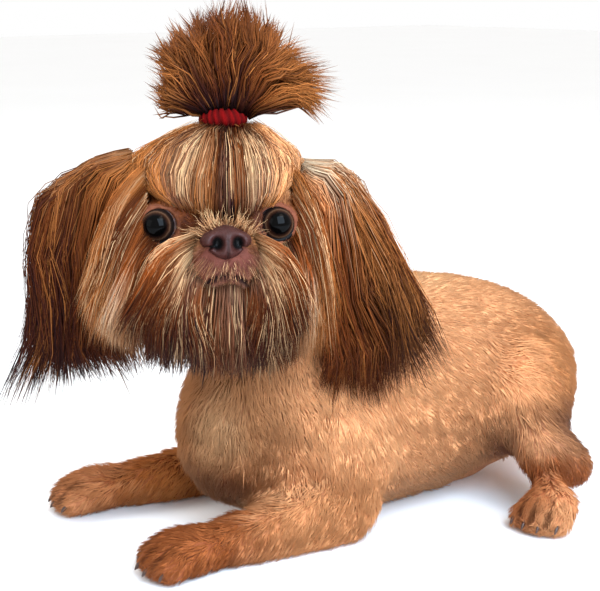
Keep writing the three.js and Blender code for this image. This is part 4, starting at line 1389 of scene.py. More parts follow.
CHEEK_RIGHT = (
    Sheet(FACE_HUB, (
        ((-38, -37, 3), (-33, -39, -1), (-26, -42, -4), (-18, -45, -5)),
        ((-48, -44, -13), (-42, -47, -16), (-34, -51, -20), (-26, -54, -22)),
        ((-56, -44, -30), (-49, -48, -36), (-40, -52, -39), (-30, -55, -41)),
        ((-61, -40, -45), (-53, -44, -51), (-41, -47, -58), (-28, -49, -61)),
    )),
    Sheet(FACE_HUB, (
        ((-39, -32, 0), (-33, -35, -8), (-27, -37, -14), (-20, -39, -17)),
        ((-50, -38, -19), (-44, -41, -25), (-36, -44, -29), (-26, -46, -31)),
        ((-57, -38, -36), (-49, -42, -43), (-40, -44, -46), (-30, -47, -47)),
        ((-59, -34, -48), (-49, -36, -56), (-39, -37, -63), (-28, -40, -67)),
    )),
)
CHEEK_LEFT = (
    Sheet(FACE_HUB, (
        ((35, -36, 1), (31, -38, -2), (24, -42, -5), (16, -45, -5)),
        ((40, -42, -14), (35, -46, -19), (28, -50, -22), (21, -53, -24)),
        ((42, -42, -32), (36, -46, -38), (30, -50, -42), (22, -54, -43)),
        ((41, -38, -52), (36, -42, -60), (29, -46, -63), (20, -49, -64)),
    )),
    Sheet(FACE_HUB, (
        ((37, -30, -2), (31, -33, -9), (25, -36, -15), (18, -39, -18)),
        ((42, -36, -19), (37, -39, -26), (30, -43, -30), (22, -46, -32)),
        ((43, -36, -37), (38, -39, -44), (32, -43, -48), (24, -46, -48)),
        ((41, -34, -55), (36, -37, -60), (30, -40, -63), (20, -43, -65)),
    )),
)
MOUSTACHE_RIGHT = (
    Sheet(FACE_HUB, (
        ((-13, -46, 4), (-16, -47, -2), (-17, -49, -7), (-16, -51, -13), (-13, -51, -19)),
        ((-31, -52, -5), (-30, -54, -12), (-26, -56, -20), (-21, -56, -26), (-15, -56, -31)),
        ((-43, -51, -23), (-39, -54, -31), (-32, -56, -38), (-23, -56, -43), (-11, -55, -46)),
        ((-54, -47, -39), (-47, -49, -52), (-37, -51, -57), (-23, -52, -60), (-8, -52, -61)),
    )),
    Sheet(FACE_HUB, (
        ((-18, -43, 0), (-19, -44, -6), (-19, -46, -11), (-16, -47, -17), (-12, -48, -22)),
        ((-32, -52, -11), (-29, -54, -18), (-24, -56, -24), (-19, -53, -30), (-13, -53, -34)),
        ((-41, -51, -27), (-37, -53, -36), (-30, -55, -42), (-20, -55, -46), (-11, -54, -47)),
        ((-51, -45, -48), (-42, -46, -58), (-32, -48, -62), (-21, -49, -64), (-10, -50, -64)),
    )),
)
MOUSTACHE_LEFT = (
    Sheet(FACE_HUB, (
        ((13, -46, 3), (16, -47, -3), (17, -49, -8), (16, -51, -14), (13, -51, -19)),
        ((28, -51, -5), (28, -53, -14), (24, -55, -21), (19, -56, -27), (13, -56, -32)),
        ((37, -49, -22), (34, -52, -31), (29, -54, -39), (20, -55, -44), (9, -55, -47)),
        ((42, -46, -35), (38, -48, -47), (31, -50, -54), (19, -52, -59), (5, -52, -60)),
    )),
    Sheet(FACE_HUB, (
        ((17, -43, -1), (19, -44, -7), (18, -46, -12), (16, -47, -18), (12, -48, -22)),
        ((29, -51, -11), (27, -53, -19), (22, -55, -25), (18, -53, -31), (11, -53, -35)),
        ((35, -49, -27), (32, -51, -36), (26, -53, -44), (19, -54, -47), (10, -54, -48)),
        ((37, -44, -44), (33, -46, -53), (26, -48, -59), (19, -50, -62), (9, -50, -62)),
    )),
)
LIP_SHEETS = (
    Sheet(FACE_HUB, (
        ((-11, -51, -5), (-7, -53, -8), (1, -54, -10), (8, -52, -8), (14, -50, -5)),
        ((-16, -54, -10), (-10, -55, -13), (0, -55, -14), (11, -54, -13), (18, -53, -11)),
        ((-21, -55, -16), (-12, -57, -17), (0, -55, -16), (12, -56, -17), (22, -55, -17)),
    )),
    Sheet(FACE_HUB, (
        ((-13, -52, -12), (-7, -53, -16), (1, -54, -16), (9, -53, -16), (16, -50, -13)),
        ((-18, -55, -18), (-9, -56, -21), (1, -56, -21), (10, -56, -21), (19, -54, -19)),
        ((-23, -56, -24), (-11, -57, -21), (1, -55, -18), (11, -56, -21), (24, -56, -25)),
    )),
)
BEARD_SHEETS = (
    Sheet(LOW_HUB, (
        ((-17, -48, -23), (-10, -51, -22), (0, -53, -20), (10, -51, -23), (18, -48, -24)),
        ((-24, -51, -36), (-13, -55, -37), (-1, -56, -37), (10, -55, -37), (22, -51, -37)),
        ((-29, -50, -49), (-15, -54, -51), (-1, -55, -52), (12, -54, -52), (25, -50, -50)),
        ((-32, -46, -59), (-16, -48, -63), (-1, -49, -64), (13, -48, -64), (29, -46, -60)),
    )),
    Sheet(LOW_HUB, (
        ((-23, -40, -26), (-12, -44, -26), (0, -45, -25), (11, -44, -26), (23, -40, -27)),
        ((-29, -43, -39), (-15, -48, -41), (-1, -49, -42), (13, -48, -42), (27, -43, -40)),
        ((-33, -38, -52), (-17, -42, -57), (-1, -44, -58), (15, -42, -58), (31, -38, -54)),
        ((-36, -36, -63), (-18, -40, -67), (-1, -42, -68), (16, -40, -68), (33, -36, -64)),
    )),
    Sheet(LOW_HUB, (
        ((-31, -16, -31), (-16, -20, -33), (1, -22, -35), (18, -20, -34), (33, -16, -32)),
        ((-36, -18, -43), (-19, -24, -47), (0, -27, -48), (19, -24, -48), (37, -18, -45)),
        ((-40, -18, -56), (-20, -24, -59), (0, -27, -60), (20, -24, -60), (40, -18, -58)),
        ((-43, -18, -65), (-21, -24, -68), (0, -27, -69), (21, -24, -69), (42, -18, -67)),
    )),
)
FRILL_SHEETS = (
    Sheet(FRILL_HUB, (
        ((-11, -48, 0), (-9, -49, 3), (-5, -50, 5), (1, -50, 5), (6, -50, 4), (10, -49, 2), (12, -47, -2)),
        ((-16, -47, 3), (-12, -48, 7), (-6, -48, 9), (1, -48, 10), (7, -48, 8), (12, -47, 5), (16, -46, 1)),
        ((-22, -45, 4), (-16, -45, 10), (-7, -45, 13), (1, -45, 14), (9, -45, 12), (15, -45, 9), (20, -45, 3)),
    )),
    Sheet(FRILL_HUB, (
        ((-12, -46, 3), (-8, -46, 7), (-4, -46, 8), (1, -46, 8), (6, -46, 8), (10, -45, 6), (13, -44, 2)),
        ((-18, -45, 5), (-12, -45, 10), (-6, -45, 13), (1, -45, 13), (8, -45, 12), (13, -45, 10), (17, -44, 5)),
        ((-25, -44, 6), (-16, -43, 12), (-7, -43, 16), (2, -43, 17), (9, -43, 16), (16, -43, 13), (21, -43, 7)),
    )),
)
TOPKNOT = (
    Sheet(FAN_HUB, (
        ((-7, -10, 60), (4, -12, 61), (15, -10, 60)),
        ((-18, -20, 70), (-8, -26, 80), (5, -28, 84), (17, -26, 79), (31, -20, 70)),
        ((-26, -22, 71), (-15, -30, 91), (4, -32, 98), (25, -28, 92), (44, -22, 73)),
    )),
    Sheet(FAN_HUB, (
        ((-7, -6, 60), (4, -7, 62), (16, -6, 60)),
        ((-23, -8, 64), (-21, -10, 79), (-9, -12, 89), (7, -12, 92), (21, -12, 88), (35, -10, 78), (38, -8, 66)),
        ((-36, -8, 64), (-33, -10, 93), (-14, -12, 112), (7, -12, 115), (32, -12, 104), (65, -10, 73), (53, -8, 56)),
    )),
    Sheet(FAN_HUB, (
        ((-7, 0, 61), (5, 0, 62), (16, 0, 60)),
        ((-21, 4, 64), (-19, 4, 78), (-6, 4, 89), (9, 4, 92), (24, 4, 87), (35, 4, 77), (36, 4, 64)),
        ((-34, 6, 60), (-29, 6, 88), (-10, 6, 109), (9, 6, 115), (34, 6, 103), (55, 6, 83), (52, 6, 58)),
    )),
    Sheet(FAN_HUB, (
        ((-5, 5, 61), (5, 6, 62), (15, 5, 61)),
        ((-13, 18, 67), (-6, 22, 81), (8, 24, 87), (21, 22, 81), (30, 18, 68)),
        ((-22, 28, 69), (-11, 34, 92), (9, 36, 101), (29, 34, 93), (44, 28, 69)),
    )),
)
TAIL_SHEETS = (
    Sheet((-30, 190, 60), (
        TAIL_LINE,
        ((0, 194, 54), (-12, 222, 34), (-34, 230, 12), (-66, 220, 6), (-88, 198, 5)),
        ((0, 204, 40), (-18, 232, 18), (-46, 238, 5), (-82, 222, 4), (-104, 196, 4)),
    )),
    Sheet((-30, 190, 0), (
        TAIL_LINE,
        ((-4, 200, 76), (-18, 222, 52), (-40, 228, 28), (-66, 212, 18), (-88, 194, 13)),
        ((-10, 214, 64), (-28, 230, 40), (-56, 226, 20), (-86, 206, 12), (-106, 188, 8)),
    )),
    Sheet((-30, 260, 40), (
        TAIL_LINE,
        ((-8, 188, 56), (-20, 204, 26), (-36, 202, 8), (-60, 190, 5), (-84, 188, 5)),
        ((-16, 196, 34), (-30, 204, 10), (-48, 190, 4), (-76, 178, 4), (-100, 180, 4)),
    )),
)
MOUSTACHE_SHADES = (
    Shade(0.0, FAWN, RUST, UMBER),
    Shade(0.25, FAWN, CHESTNUT, SABLE),
    Shade(0.5, PALE, CHESTNUT, SABLE),
    Shade(0.8, SMOKE, UMBER, SABLE),
    Shade(1.0, SMOKE, CHESTNUT, UMBER),
)
BEARD_SHADES = (
    Shade(0.0, RUST, UMBER, SABLE),
    Shade(0.25, CHESTNUT, SABLE, SABLE),
    Shade(0.4, SMOKE, CHESTNUT, UMBER),
    Shade(0.6, SMOKE, SMOKE, UMBER),
    Shade(0.8, CHESTNUT, SABLE, SABLE),
    Shade(1.0, CHESTNUT, UMBER, CHESTNUT),
)
TEMPLE_SHADES = (
    Shade(0.0, GOLD, CHESTNUT, GOLD),
    Shade(0.10, GOLD, CHESTNUT, GOLD),
    Shade(0.18, FAWN, FAWN, PALE),
    Shade(0.24, GOLD, RUST, GOLD),
    Shade(0.45, CHESTNUT, UMBER, RUST),
    Shade(0.7, CHESTNUT, UMBER, GOLD),
    Shade(1.0, CHESTNUT, CHESTNUT, FAWN),
)
CHEEK_SHADES = (
    Shade(0.0, CHESTNUT, RUST, CREAM),
    Shade(0.3, UMBER, CHESTNUT, FAWN),
    Shade(0.65, CHESTNUT, UMBER, UMBER),
    Shade(1.0, FAWN, CHESTNUT, SABLE),
)
TOPKNOT_SHADES = (
    Shade(0.0, SABLE, UMBER, GOLD),
    Shade(0.45, SABLE, UMBER, CHESTNUT),
    Shade(1.0, SABLE, CHESTNUT, GOLD),
)
FRILL_SHADES = even(FAWN, FAWN, PALE)
LIP_SHADES = even(MAUVE, SMOKE, FAWN)
CROWN_SHADES = even(GOLD, FAWN, CHESTNUT)
NAPE_SHADES = even(CHESTNUT, GOLD, FAWN)
TAIL_SHADES = even(GOLD, APRICOT, CREAM)
WISP_SHADES = even(UMBER, SABLE, SABLE)
FACE_TRESSES = (
    Tress(
        "hair_brow", BROW_SHEETS, BROW_SHADES, 4600, 230, DRAWN_CUT, 101, 0.4, 1.0,
        short=0.12, fray=1.2, streaks=0.04, dark=0.7,
    ),
    Tress("hair_crown", CROWN_SHEETS, CROWN_SHADES, 1900, 130, DRAWN_CUT, 102, 0.4, 0.9, short=0.3, fray=1.0),
    Tress(
        "hair_nape", NAPE_SHEETS, NAPE_SHADES, 2000, 110, FACE_CUT, 117, 0.5, 1.4,
        short=0.35, fray=2.0, streaks=0.08,
    ),
    Tress(
        "hair_wisps", WISP_SHEETS, WISP_SHADES, 26, 20, WISP_CUT, 114, 0.3, 1.5,
        fray=3.0, under=0.0, streaks=0.0,
    ),
    Tress(
        "hair_frill", FRILL_SHEETS, FRILL_SHADES, 190, 60, FINE_CUT, 103, 0.5, 0.9,
        fray=2.4, short=0.8, under=0.0,
    ),
    Tress(
        "hair_moustache_left", MOUSTACHE_LEFT, MOUSTACHE_SHADES, 2400, 160, FACE_CUT, 104, 0.55, 1.3,
        0.8, 0.45, 3.0, streaks=0.14,
    ),
    Tress(
        "hair_moustache_right", MOUSTACHE_RIGHT, MOUSTACHE_SHADES, 2400, 160, FACE_CUT, 105, 0.55, 1.3,
        0.8, 0.45, 3.0, streaks=0.14,
    ),
    Tress(
        "hair_lip", LIP_SHEETS, LIP_SHADES, 200, 150, FINE_CUT, 106, 0.3, 0.4,
        fray=1.0, short=0.7, under=0.0, streaks=0.1,
    ),
    Tress(
        "hair_beard", BEARD_SHEETS, BEARD_SHADES, 2700, 150, FACE_CUT, 107, 0.6, 1.2,
        0.8, 0.35, 3.0, streaks=0.14,
    ),
    Tress(
        "hair_cheek_left", CHEEK_LEFT, CHEEK_SHADES, 1500, 90, FACE_CUT, 108, 0.6, 0.9,
        0.9, 0.3, 1.8, streaks=0.08,
    ),
    Tress(
        "hair_cheek_right", CHEEK_RIGHT, CHEEK_SHADES, 1700, 100, FACE_CUT, 109, 0.6, 0.9,
        0.9, 0.3, 1.8, streaks=0.08,
    ),
    Tress(
        "hair_temple_left", TEMPLE_LEFT, TEMPLE_SHADES, 1400, 80, TEMPLE_CUT, 115, 0.5, 1.3,
        0.9, 0.3, 3.0, streaks=0.1, dark=0.75,
    ),
    Tress(
        "hair_temple_right", TEMPLE_RIGHT, TEMPLE_SHADES, 1600, 90, TEMPLE_CUT, 116, 0.5, 1.3,
        0.9, 0.3, 3.0, streaks=0.1, dark=0.75,
    ),
)
LONG_TRESSES = (
    Tress(
        "hair_ear_right", RIGHT_EAR, RIGHT_EAR_SHADES, 3600, 150, LONG_CUT, 110, 0.6, 3.2,
        1.3, 0.22, 3.0, GOLD, 0.07, locks=13,
    ),
    Tress(
        "hair_ear_left", LEFT_EAR, LEFT_EAR_SHADES, 3600, 150, LONG_CUT, 111, 0.6, 3.6,
        1.5, 0.22, 3.0, GOLD, 0.08, locks=13,
    ),
    Tress(
        "hair_topknot", TOPKNOT, TOPKNOT_SHADES, 4700, 130, FAN_CUT, 112, 0.7, 3.0,
        1.2, 0.3, 2.2, GOLD, 0.12, locks=17,
    ),
    Tress("hair_tail", TAIL_SHEETS, TAIL_SHADES, 1400, 70, FACE_CUT, 113, wave=1.6, body_frame=True),
)


class Sock:
    """A shader socket that takes part in sums, each of which adds its Math node."""

    def __init__(self, tree: bpy.types.NodeTree, socket: bpy.types.NodeSocket) -> None:
        """Keeps the socket and the tree it belongs to."""
        self.tree = tree
        self.socket = socket

    def sum_of(self, how: str, first: "Sock | float", second: "Sock | float") -> "Sock":
        """A Math node on two values.

        Args:
            how: The node's operation.
            first: Its first value.
            second: Its second value.

        Returns:
            The node's result.
        """
        node = self.tree.nodes.new("ShaderNodeMath")
        node.operation = how
        for slot, value in zip(node.inputs, (first, second)):
            if isinstance(value, Sock):
                self.tree.links.new(value.socket, slot)
            else:
                slot.default_value = value
        return Sock(self.tree, node.outputs[0])

    def __add__(self, other: "Sock | float") -> "Sock":
        """Self plus other."""
        return self.sum_of("ADD", self, other)

    __radd__ = __add__

    def __mul__(self, other: "Sock | float") -> "Sock":
        """Self times other."""
        return self.sum_of("MULTIPLY", self, other)

    __rmul__ = __mul__

    def __sub__(self, other: "Sock | float") -> "Sock":
        """Self less other."""
        return self.sum_of("SUBTRACT", self, other)

    def __rsub__(self, other: float) -> "Sock":
        """Other less self."""
        return self.sum_of("SUBTRACT", other, self)


class Paint:
    """A material under construction."""

    def __init__(self, name: str) -> None:
        """Starts a material with its shader and output."""
        self.material = bpy.data.materials.new(name)
        self.material.use_nodes = True
        self.tree = self.material.node_tree
        self.shader = self.tree.nodes["Principled BSDF"]

    def node(self, kind: str, settings: dict | None = None, **inputs: object) -> bpy.types.Node:
        """Adds a node.

        Args:
            kind: The node's type.
            settings: Its own settings, set first.
            inputs: Values or links of its sockets, by name with _ for a space.

        Returns:
            The node.
        """
        made = self.tree.nodes.new(kind)
        for key, value in (settings or {}).items():
            setattr(made, key, value)
        for key, value in inputs.items():
            self.feed(made, key.replace("_", " "), value)
        return made

    def feed(self, node: bpy.types.Node, name: str, value: object) -> None:
        """Sets or links one socket of a node."""
        socket = next(s for s in node.inputs if s.name == name and s.enabled)
        if isinstance(value, Sock):
            self.tree.links.new(value.socket, socket)
        else:
            socket.default_value = value

    def out(self, node: bpy.types.Node, name: str) -> Sock:
        """One result of a node."""
        return Sock(self.tree, next(s for s in node.outputs if s.name == name and s.enabled))

    def value(self, name: str) -> Sock:
        """A number that the piece's mesh carries."""
        return self.out(self.node("ShaderNodeAttribute", {"attribute_name": name}), "Fac")

    def colour(self, name: str) -> Sock:
        """A colour that the piece's mesh carries."""
        return self.out(self.node("ShaderNodeAttribute", {"attribute_name": name}), "Color")

    def place(self) -> Sock:
        """The place on the piece, in metres."""
        return self.out(self.node("ShaderNodeTexCoord"), "Object")

    def noise(self, scale: float, detail: float = 3.0, rough: float = 0.5) -> Sock:
        """Noise over the piece, about 0.5."""
        made = self.node("ShaderNodeTexNoise", Vector=self.place(), Scale=scale, Detail=detail, Roughness=rough)
        return self.out(made, "Fac")

    def blend(self, first: object, second: object, share: Sock | float, how: str = "MIX") -> Sock:
        """A Mix node on two colours."""
        made = self.node("ShaderNodeMix", {"data_type": "RGBA", "blend_type": how}, Factor=share, A=first, B=second)
        return self.out(made, "Result")

    def ramp(self, share: Sock, stops: Sequence[tuple[float, Spot]]) -> Sock:
        """A colour ramp over a value."""
        made = self.node("ShaderNodeValToRGB", None, Fac=share)
        ramp = made.color_ramp
        while len(ramp.elements) < len(stops):
            ramp.elements.new(0.5)
        for element, (at, colour) in zip(ramp.elements, stops):
            element.position = at
            element.color = (*colour, 1)
        return self.out(made, "Color")

    def bump(self, height: Sock, strength: float, distance: float) -> None:
        """Raises the surface's grain by a value."""
        made = self.node("ShaderNodeBump", None, Height=height, Strength=strength, Distance=distance)
        self.feed(self.shader, "Normal", self.out(made, "Normal"))

    def set(self, **inputs: object) -> None:
        """Sets or links sockets of the shader, by name with _ for a space."""
        for key, value in inputs.items():
            self.feed(self.shader, key.replace("_", " "), value)


def rgba(red: float, green: float, blue: float) -> tuple[float, float, float, float]:
    """A colour as it looks, for a shader's socket."""
    return (red**GAMMA, green**GAMMA, blue**GAMMA, 1.0)


@dataclass(frozen=True)
class HairFinish:
    """Hair: the mesh's own tones, a little uneven from hair to hair and along each."""

    name: str = "hair"
    roughness: float = 0.52
    level: float = 0.08
    uneven: float = 0.35

    def material(self) -> Material:
        """Builds the material."""
        paint = Paint(self.name)
        tone = paint.colour("tone")
        spread = paint.noise(900, 2) * 0.5 + paint.value("chance") * 0.5
        dull = paint.blend(tone, rgba(0.34, 0.2, 0.12), 0.35, "MULTIPLY")
        mixed = paint.blend(tone, dull, spread * self.uneven)
        paint.set(Base_Color=mixed, Roughness=self.roughness, Specular_IOR_Level=self.level)
        return paint.material


@dataclass(frozen=True)
class SkinFinish:
    """Skin with its close undercoat: the same markings and painted shade, combed by a fine bump."""

    name: str = "skin"
    roughness: float = 0.75

    def material(self) -> Material:
        """Builds the material."""
        paint = Paint(self.name)
        tone = paint.colour("tone")
        mottled = paint.noise(420, 4, 0.6)
        dark = paint.blend(tone, rgba(0.62, 0.45, 0.34), 1.0, "MULTIPLY")
        paint.set(Base_Color=paint.blend(dark, tone, mottled), Roughness=self.roughness, Specular_IOR_Level=0.3)
        paint.bump(paint.noise(1400, 3, 0.6) * 0.6 + mottled * 0.8, 0.7, 0.0012)
        return paint.material


def finished(name: str, shape: Shape, finish: Material, nodes: Sequence[str] = ()) -> Piece:
    """Turns a bmesh in the row frame into a smooth, dressed piece that rides on the animal."""
    bmesh.ops.recalc_face_normals(shape, faces=shape.faces)
    mesh = mesh_of(shape, name)
    shaded_smooth(mesh)
    mesh.materials.append(finish)
    made = object_of(name, mesh)
    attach(made, "root")
    if nodes:
        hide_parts(*nodes)
    LOG.info("%s: %d faces", name, len(mesh.polygons))
    return made


def turned_to(way: Sequence) -> Matrix:
    """A turn that brings +Z to a direction, keeping +Y as high as can be."""
    return Vector(way).to_track_quat("Z", "Y").to_matrix()


@dataclass(frozen=True)
class EyeFinish:
    """Eye: pupil, iris and white by the angle from the gaze, under a clear wet coat."""

    name: str = "eye"
    black: Spot = (0.0012, 0.001, 0.001)

    def material(self) -> Material:
        """Builds the material."""
        paint = Paint(self.name)
        ring = paint.value("ring")
        grain = paint.out(paint.node("ShaderNodeAttribute", {"attribute_name": "fibre"}), "Vector")
        fibre = paint.out(paint.node("ShaderNodeTexNoise", None, Vector=grain, Scale=9.0, Detail=3.0), "Fac")
        stops = (
            (0.0, self.black),
            (0.38, self.black),
            (0.45, (0.010, 0.004, 0.003)),
            (0.53, (0.036, 0.014, 0.007)),
            (0.58, (0.09, 0.045, 0.025)),
            (0.62, (0.030, 0.014, 0.009)),
            (0.68, (0.010, 0.006, 0.005)),
            (0.80, (0.014, 0.008, 0.007)),
            (0.86, (0.30, 0.21, 0.20)),
            (1.0, (0.38, 0.26, 0.25)),
        )
        iris = paint.ramp(ring + (fibre - 0.5) * 0.07, stops)
        paint.set(Base_Color=iris, Roughness=0.4, Specular_IOR_Level=0.0)
        paint.set(Coat_Weight=1.0, Coat_Roughness=0.01, Coat_IOR=1.15)
        return paint.material


@dataclass(frozen=True)
class WetFinish:
    """Bare skin of lids and lips: dark, a little wet, pinker where it is thin."""

    name: str
    dark: tuple[float, float, float, float]
    pink: tuple[float, float, float, float]
    roughness: float = 0.55

    def material(self) -> Material:
        """Builds the material."""
        paint = Paint(self.name)
        share = paint.value("pink")
        uneven = paint.noise(700, 3)
        tone = paint.blend(self.dark, self.pink, share * 0.85 + (uneven - 0.5) * 0.3)
        paint.set(Base_Color=tone, Roughness=self.roughness, Specular_IOR_Level=0.15)
        paint.bump(uneven, 0.35, 0.0006)
        return paint.material


@dataclass(frozen=True)
class LeatherFinish:
    """Nose leather: fine pebbles, with painted shade in the nostrils and in the groove between them."""

    name: str = "nose_leather"

    def material(self) -> Material:
        """Builds the material."""
        paint = Paint(self.name)
        cells = paint.node("ShaderNodeTexVoronoi", None, Vector=paint.place(), Scale=1300.0)
        pebbles = paint.out(cells, "Distance")
        deep = paint.value("deep")
        base = paint.blend(rgba(0.18, 0.085, 0.075), rgba(0.29, 0.155, 0.14), paint.noise(240, 3))
        # Painted shade: the nostrils and the groove are darkened where the leather is sunk.
        tone = paint.blend(base, rgba(0.02, 0.01, 0.01), deep)
        paint.set(Base_Color=tone, Roughness=0.36 + pebbles * 0.25, Specular_IOR_Level=0.3)
        paint.bump(pebbles, 0.35, 0.0006)
        return paint.material


@dataclass(frozen=True)
class BandFinish:
    """Band: soft red elastic cloth, ribbed across, with a fine nap, its gathers painted lighter on the ridges and
    darker in the folds as painted light and shade.
    """

    name: str = "band"

    def material(self) -> Material:
        """Builds the material."""
        paint = Paint(self.name)
        nap = paint.noise(2600, 3, 0.7)
        worn = paint.noise(260, 3)
        # Painted light and shade: the ridges of the gathers are lighter and the folds between them darker.
        high = paint.value("ridge") * 0.75 + nap * 0.3
        deep = paint.blend(rgba(0.22, 0.006, 0.01), rgba(0.46, 0.012, 0.022), high)
        tone = paint.blend(deep, rgba(0.38, 0.012, 0.02), worn * 0.4)
        paint.set(Base_Color=tone, Roughness=0.9, Specular_IOR_Level=0.12)
        paint.bump(nap, 0.5, 0.0006)
        return paint.material


@dataclass(frozen=True)
class ClawFinish:
    """Claw: dark horn, paler in places."""

    name: str = "claw"

    def material(self) -> Material:
        """Builds the material."""
        paint = Paint(self.name)
        tone = paint.blend(rgba(0.14, 0.09, 0.08), rgba(0.34, 0.24, 0.2), paint.noise(1500, 2) * 0.8)
        paint.set(Base_Color=tone, Roughness=0.35)
        return paint.material


@dataclass
class Eye:
    """One eye with its lid rim, in the head's frame.

    Opening and pupil are bearings, and wide and high are the opening's half angles. The profile of
    the lid runs outwards from the opening's edge: degrees off it, and millimetres over the ball.
    """

    side: int
    name: str
    opening: tuple[float, float]
    pupil: tuple[float, float]
    wide: float
    high: float
    profile: tuple[tuple[float, float], ...] = (
        *((-2.0, -0.9), (-0.4, 0.1), (1, 0.55), (3, 0.8), (6, 0.9)),
        *((10, 0.8), (15, 0.3), (20, -0.8), (28, -3.0)),
    )

    def middle(self) -> Points:
        """The middle of the ball."""
        return np.array(EYES[self.side])

    def build_ball(self, finish: Material) -> None:
        """The ball with its raised cornea; its mesh carries the angle from the gaze."""
        shape = bmesh.new()
        bmesh.ops.create_uvsphere(shape, u_segments=64, v_segments=48, radius=1)
        turn = np.array(turned_to(bearing(*self.pupil)))
        own = np.array([v.co for v in shape.verts], float)
        angle = np.degrees(np.arccos(np.clip(own[:, 2], -1, 1)))
        reach = EYE_RADIUS - 0.25 + 0.75 * np.exp(-((angle / 30) ** 4))
        spots = STANCE.head((own * reach[:, None]) @ turn.T + self.middle())
        warped(shape, lambda _: spots)
        made = finished(f"eye_ball_{self.name}", shape, finish, [f"eye_{self.name}"])
        carry(made.data, "ring", angle / EYE_WHITE)
        around = np.arctan2(own[:, 1], own[:, 0])
        carry(made.data, "fibre", np.stack([np.cos(around), np.sin(around), angle / 160], axis=1))

    def edge(self, around: Points) -> Points:
        """The opening's half angle at each bearing round the gaze: an almond with a drawn inner corner."""
        c, s = np.cos(around), np.sin(around)
        almond = 1 / np.sqrt((c / self.wide) ** 2 + (s / np.where(s > 0, self.high, self.high * 0.98)) ** 2)
        return almond + 9 * self.corner(around, 0.42)

    def corner(self, around: Points, wide: float) -> Points:
        """How near each bearing is to the inner corner."""
        inner = np.pi if self.side > 0 else 0
        return bell(np.mod(around - inner + np.pi, 2 * np.pi) - np.pi, wide)

    def build_lid(self, finish: Material) -> None:
        """The bare rim of the lids, from the ball out into the fur, with its inner corner."""
        shape = bmesh.new()
        steps = 72
        around = np.arange(steps) / steps * 2 * np.pi
        turn = np.array(turned_to(bearing(*self.opening)))
        edge = self.edge(around)
        inward = self.corner(around, 0.5)
        rows, pinks = [], []
        for off, rise in self.profile:
            angle = np.radians(edge + off * (1 + 0.35 * inward))
            own = np.stack([np.cos(around) * np.sin(angle), np.sin(around) * np.sin(angle), np.cos(angle)], axis=1)
            spots = STANCE.head((own * (EYE_RADIUS + rise)) @ turn.T + self.middle())
            rows.append([shape.verts.new(s) for s in spots])
            pinks.append(np.clip(inward * 0.9 + smooth(5, 13, np.full(steps, off)) * 0.6, 0, 1))
        for low, high in zip(rows, rows[1:]):
            for k in range(steps):
                n = (k + 1) % steps
                shape.faces.new((low[k], low[n], high[n], high[k]))
        shape.faces.new(rows[-1])
        shape.faces.new(rows[0][::-1])
        made = finished(f"lid_{self.name}", shape, finish)
        carry(made.data, "pink", np.concatenate(pinks))


@dataclass
class Nose:
    """The nose leather with its two comma nostrils and the groove between them."""

    width: float = 25.0
    height: float = 11.4
    depth: float = 10.1
    lean: float = 0.7
    at: Spot = (0, -47, -0.6)

    def build(self, finish: Material) -> None:
        """Makes the nose and lets it stand for the solid one."""
        shape = ball((0, 0, 0), (1, 1, 1), 6)
        deep: list[Points] = []

        def form(spots: Points) -> Points:
            ways = unit(spots)
            upper = 1 / np.linalg.norm(ways / np.array([self.width / 2, self.depth, self.height / 2]), axis=1)
            low_way = (ways + np.array([0, 0, 0.12])) / np.array([8.6, self.depth * 0.98, 8.4])
            lower = 1 / np.linalg.norm(low_way, axis=1)
            reach = (upper**9 + lower**9) ** (1 / 9) * 0.97
            out = ways * reach[:, None]
            x, y, z = out.T
            front = smooth(1.0, -4.0, y)
            pits = np.zeros(len(out))
            for side in (-1, 1):
                pit = np.exp(-((((x - self.lean - side * 4.7) / 2.9) ** 2 + ((z + 1.1) / 3.4) ** 2) ** 1.3))
                along = np.clip((x * side - 5.0) / 6.5, 0, 1)
                slit = np.exp(-(((z + 2.2 + 2.0 * along) / (1.3 - 0.4 * along)) ** 2)) * smooth(4, 6, x * side)
                slit *= smooth(12.4, 10.0, x * side)
                pits = np.maximum(pits, np.maximum(pit, slit * 0.75))
            pits *= front
            groove = bell(x, 0.75, self.lean) * front * smooth(2.5, 0.0, z)
            wings = np.exp(-(((np.abs(x) - 8.6) / 2.6) ** 2 + ((z - 0.4) / 3.5) ** 2)) * front
            out[:, 1] += 7.5 * pits + 1.1 * groove - 0.7 * wings
            # The deep value is painted shade: it darkens the nostril pits and the groove.
            deep.append(np.clip(smooth(0.2, 0.75, pits) + groove * 0.5, 0, 1))
            return STANCE.head(out + np.array(self.at))

        made = finished("nose_leather", warped(shape, form), finish, ["nose"])
        carry(made.data, "deep", deep[0])


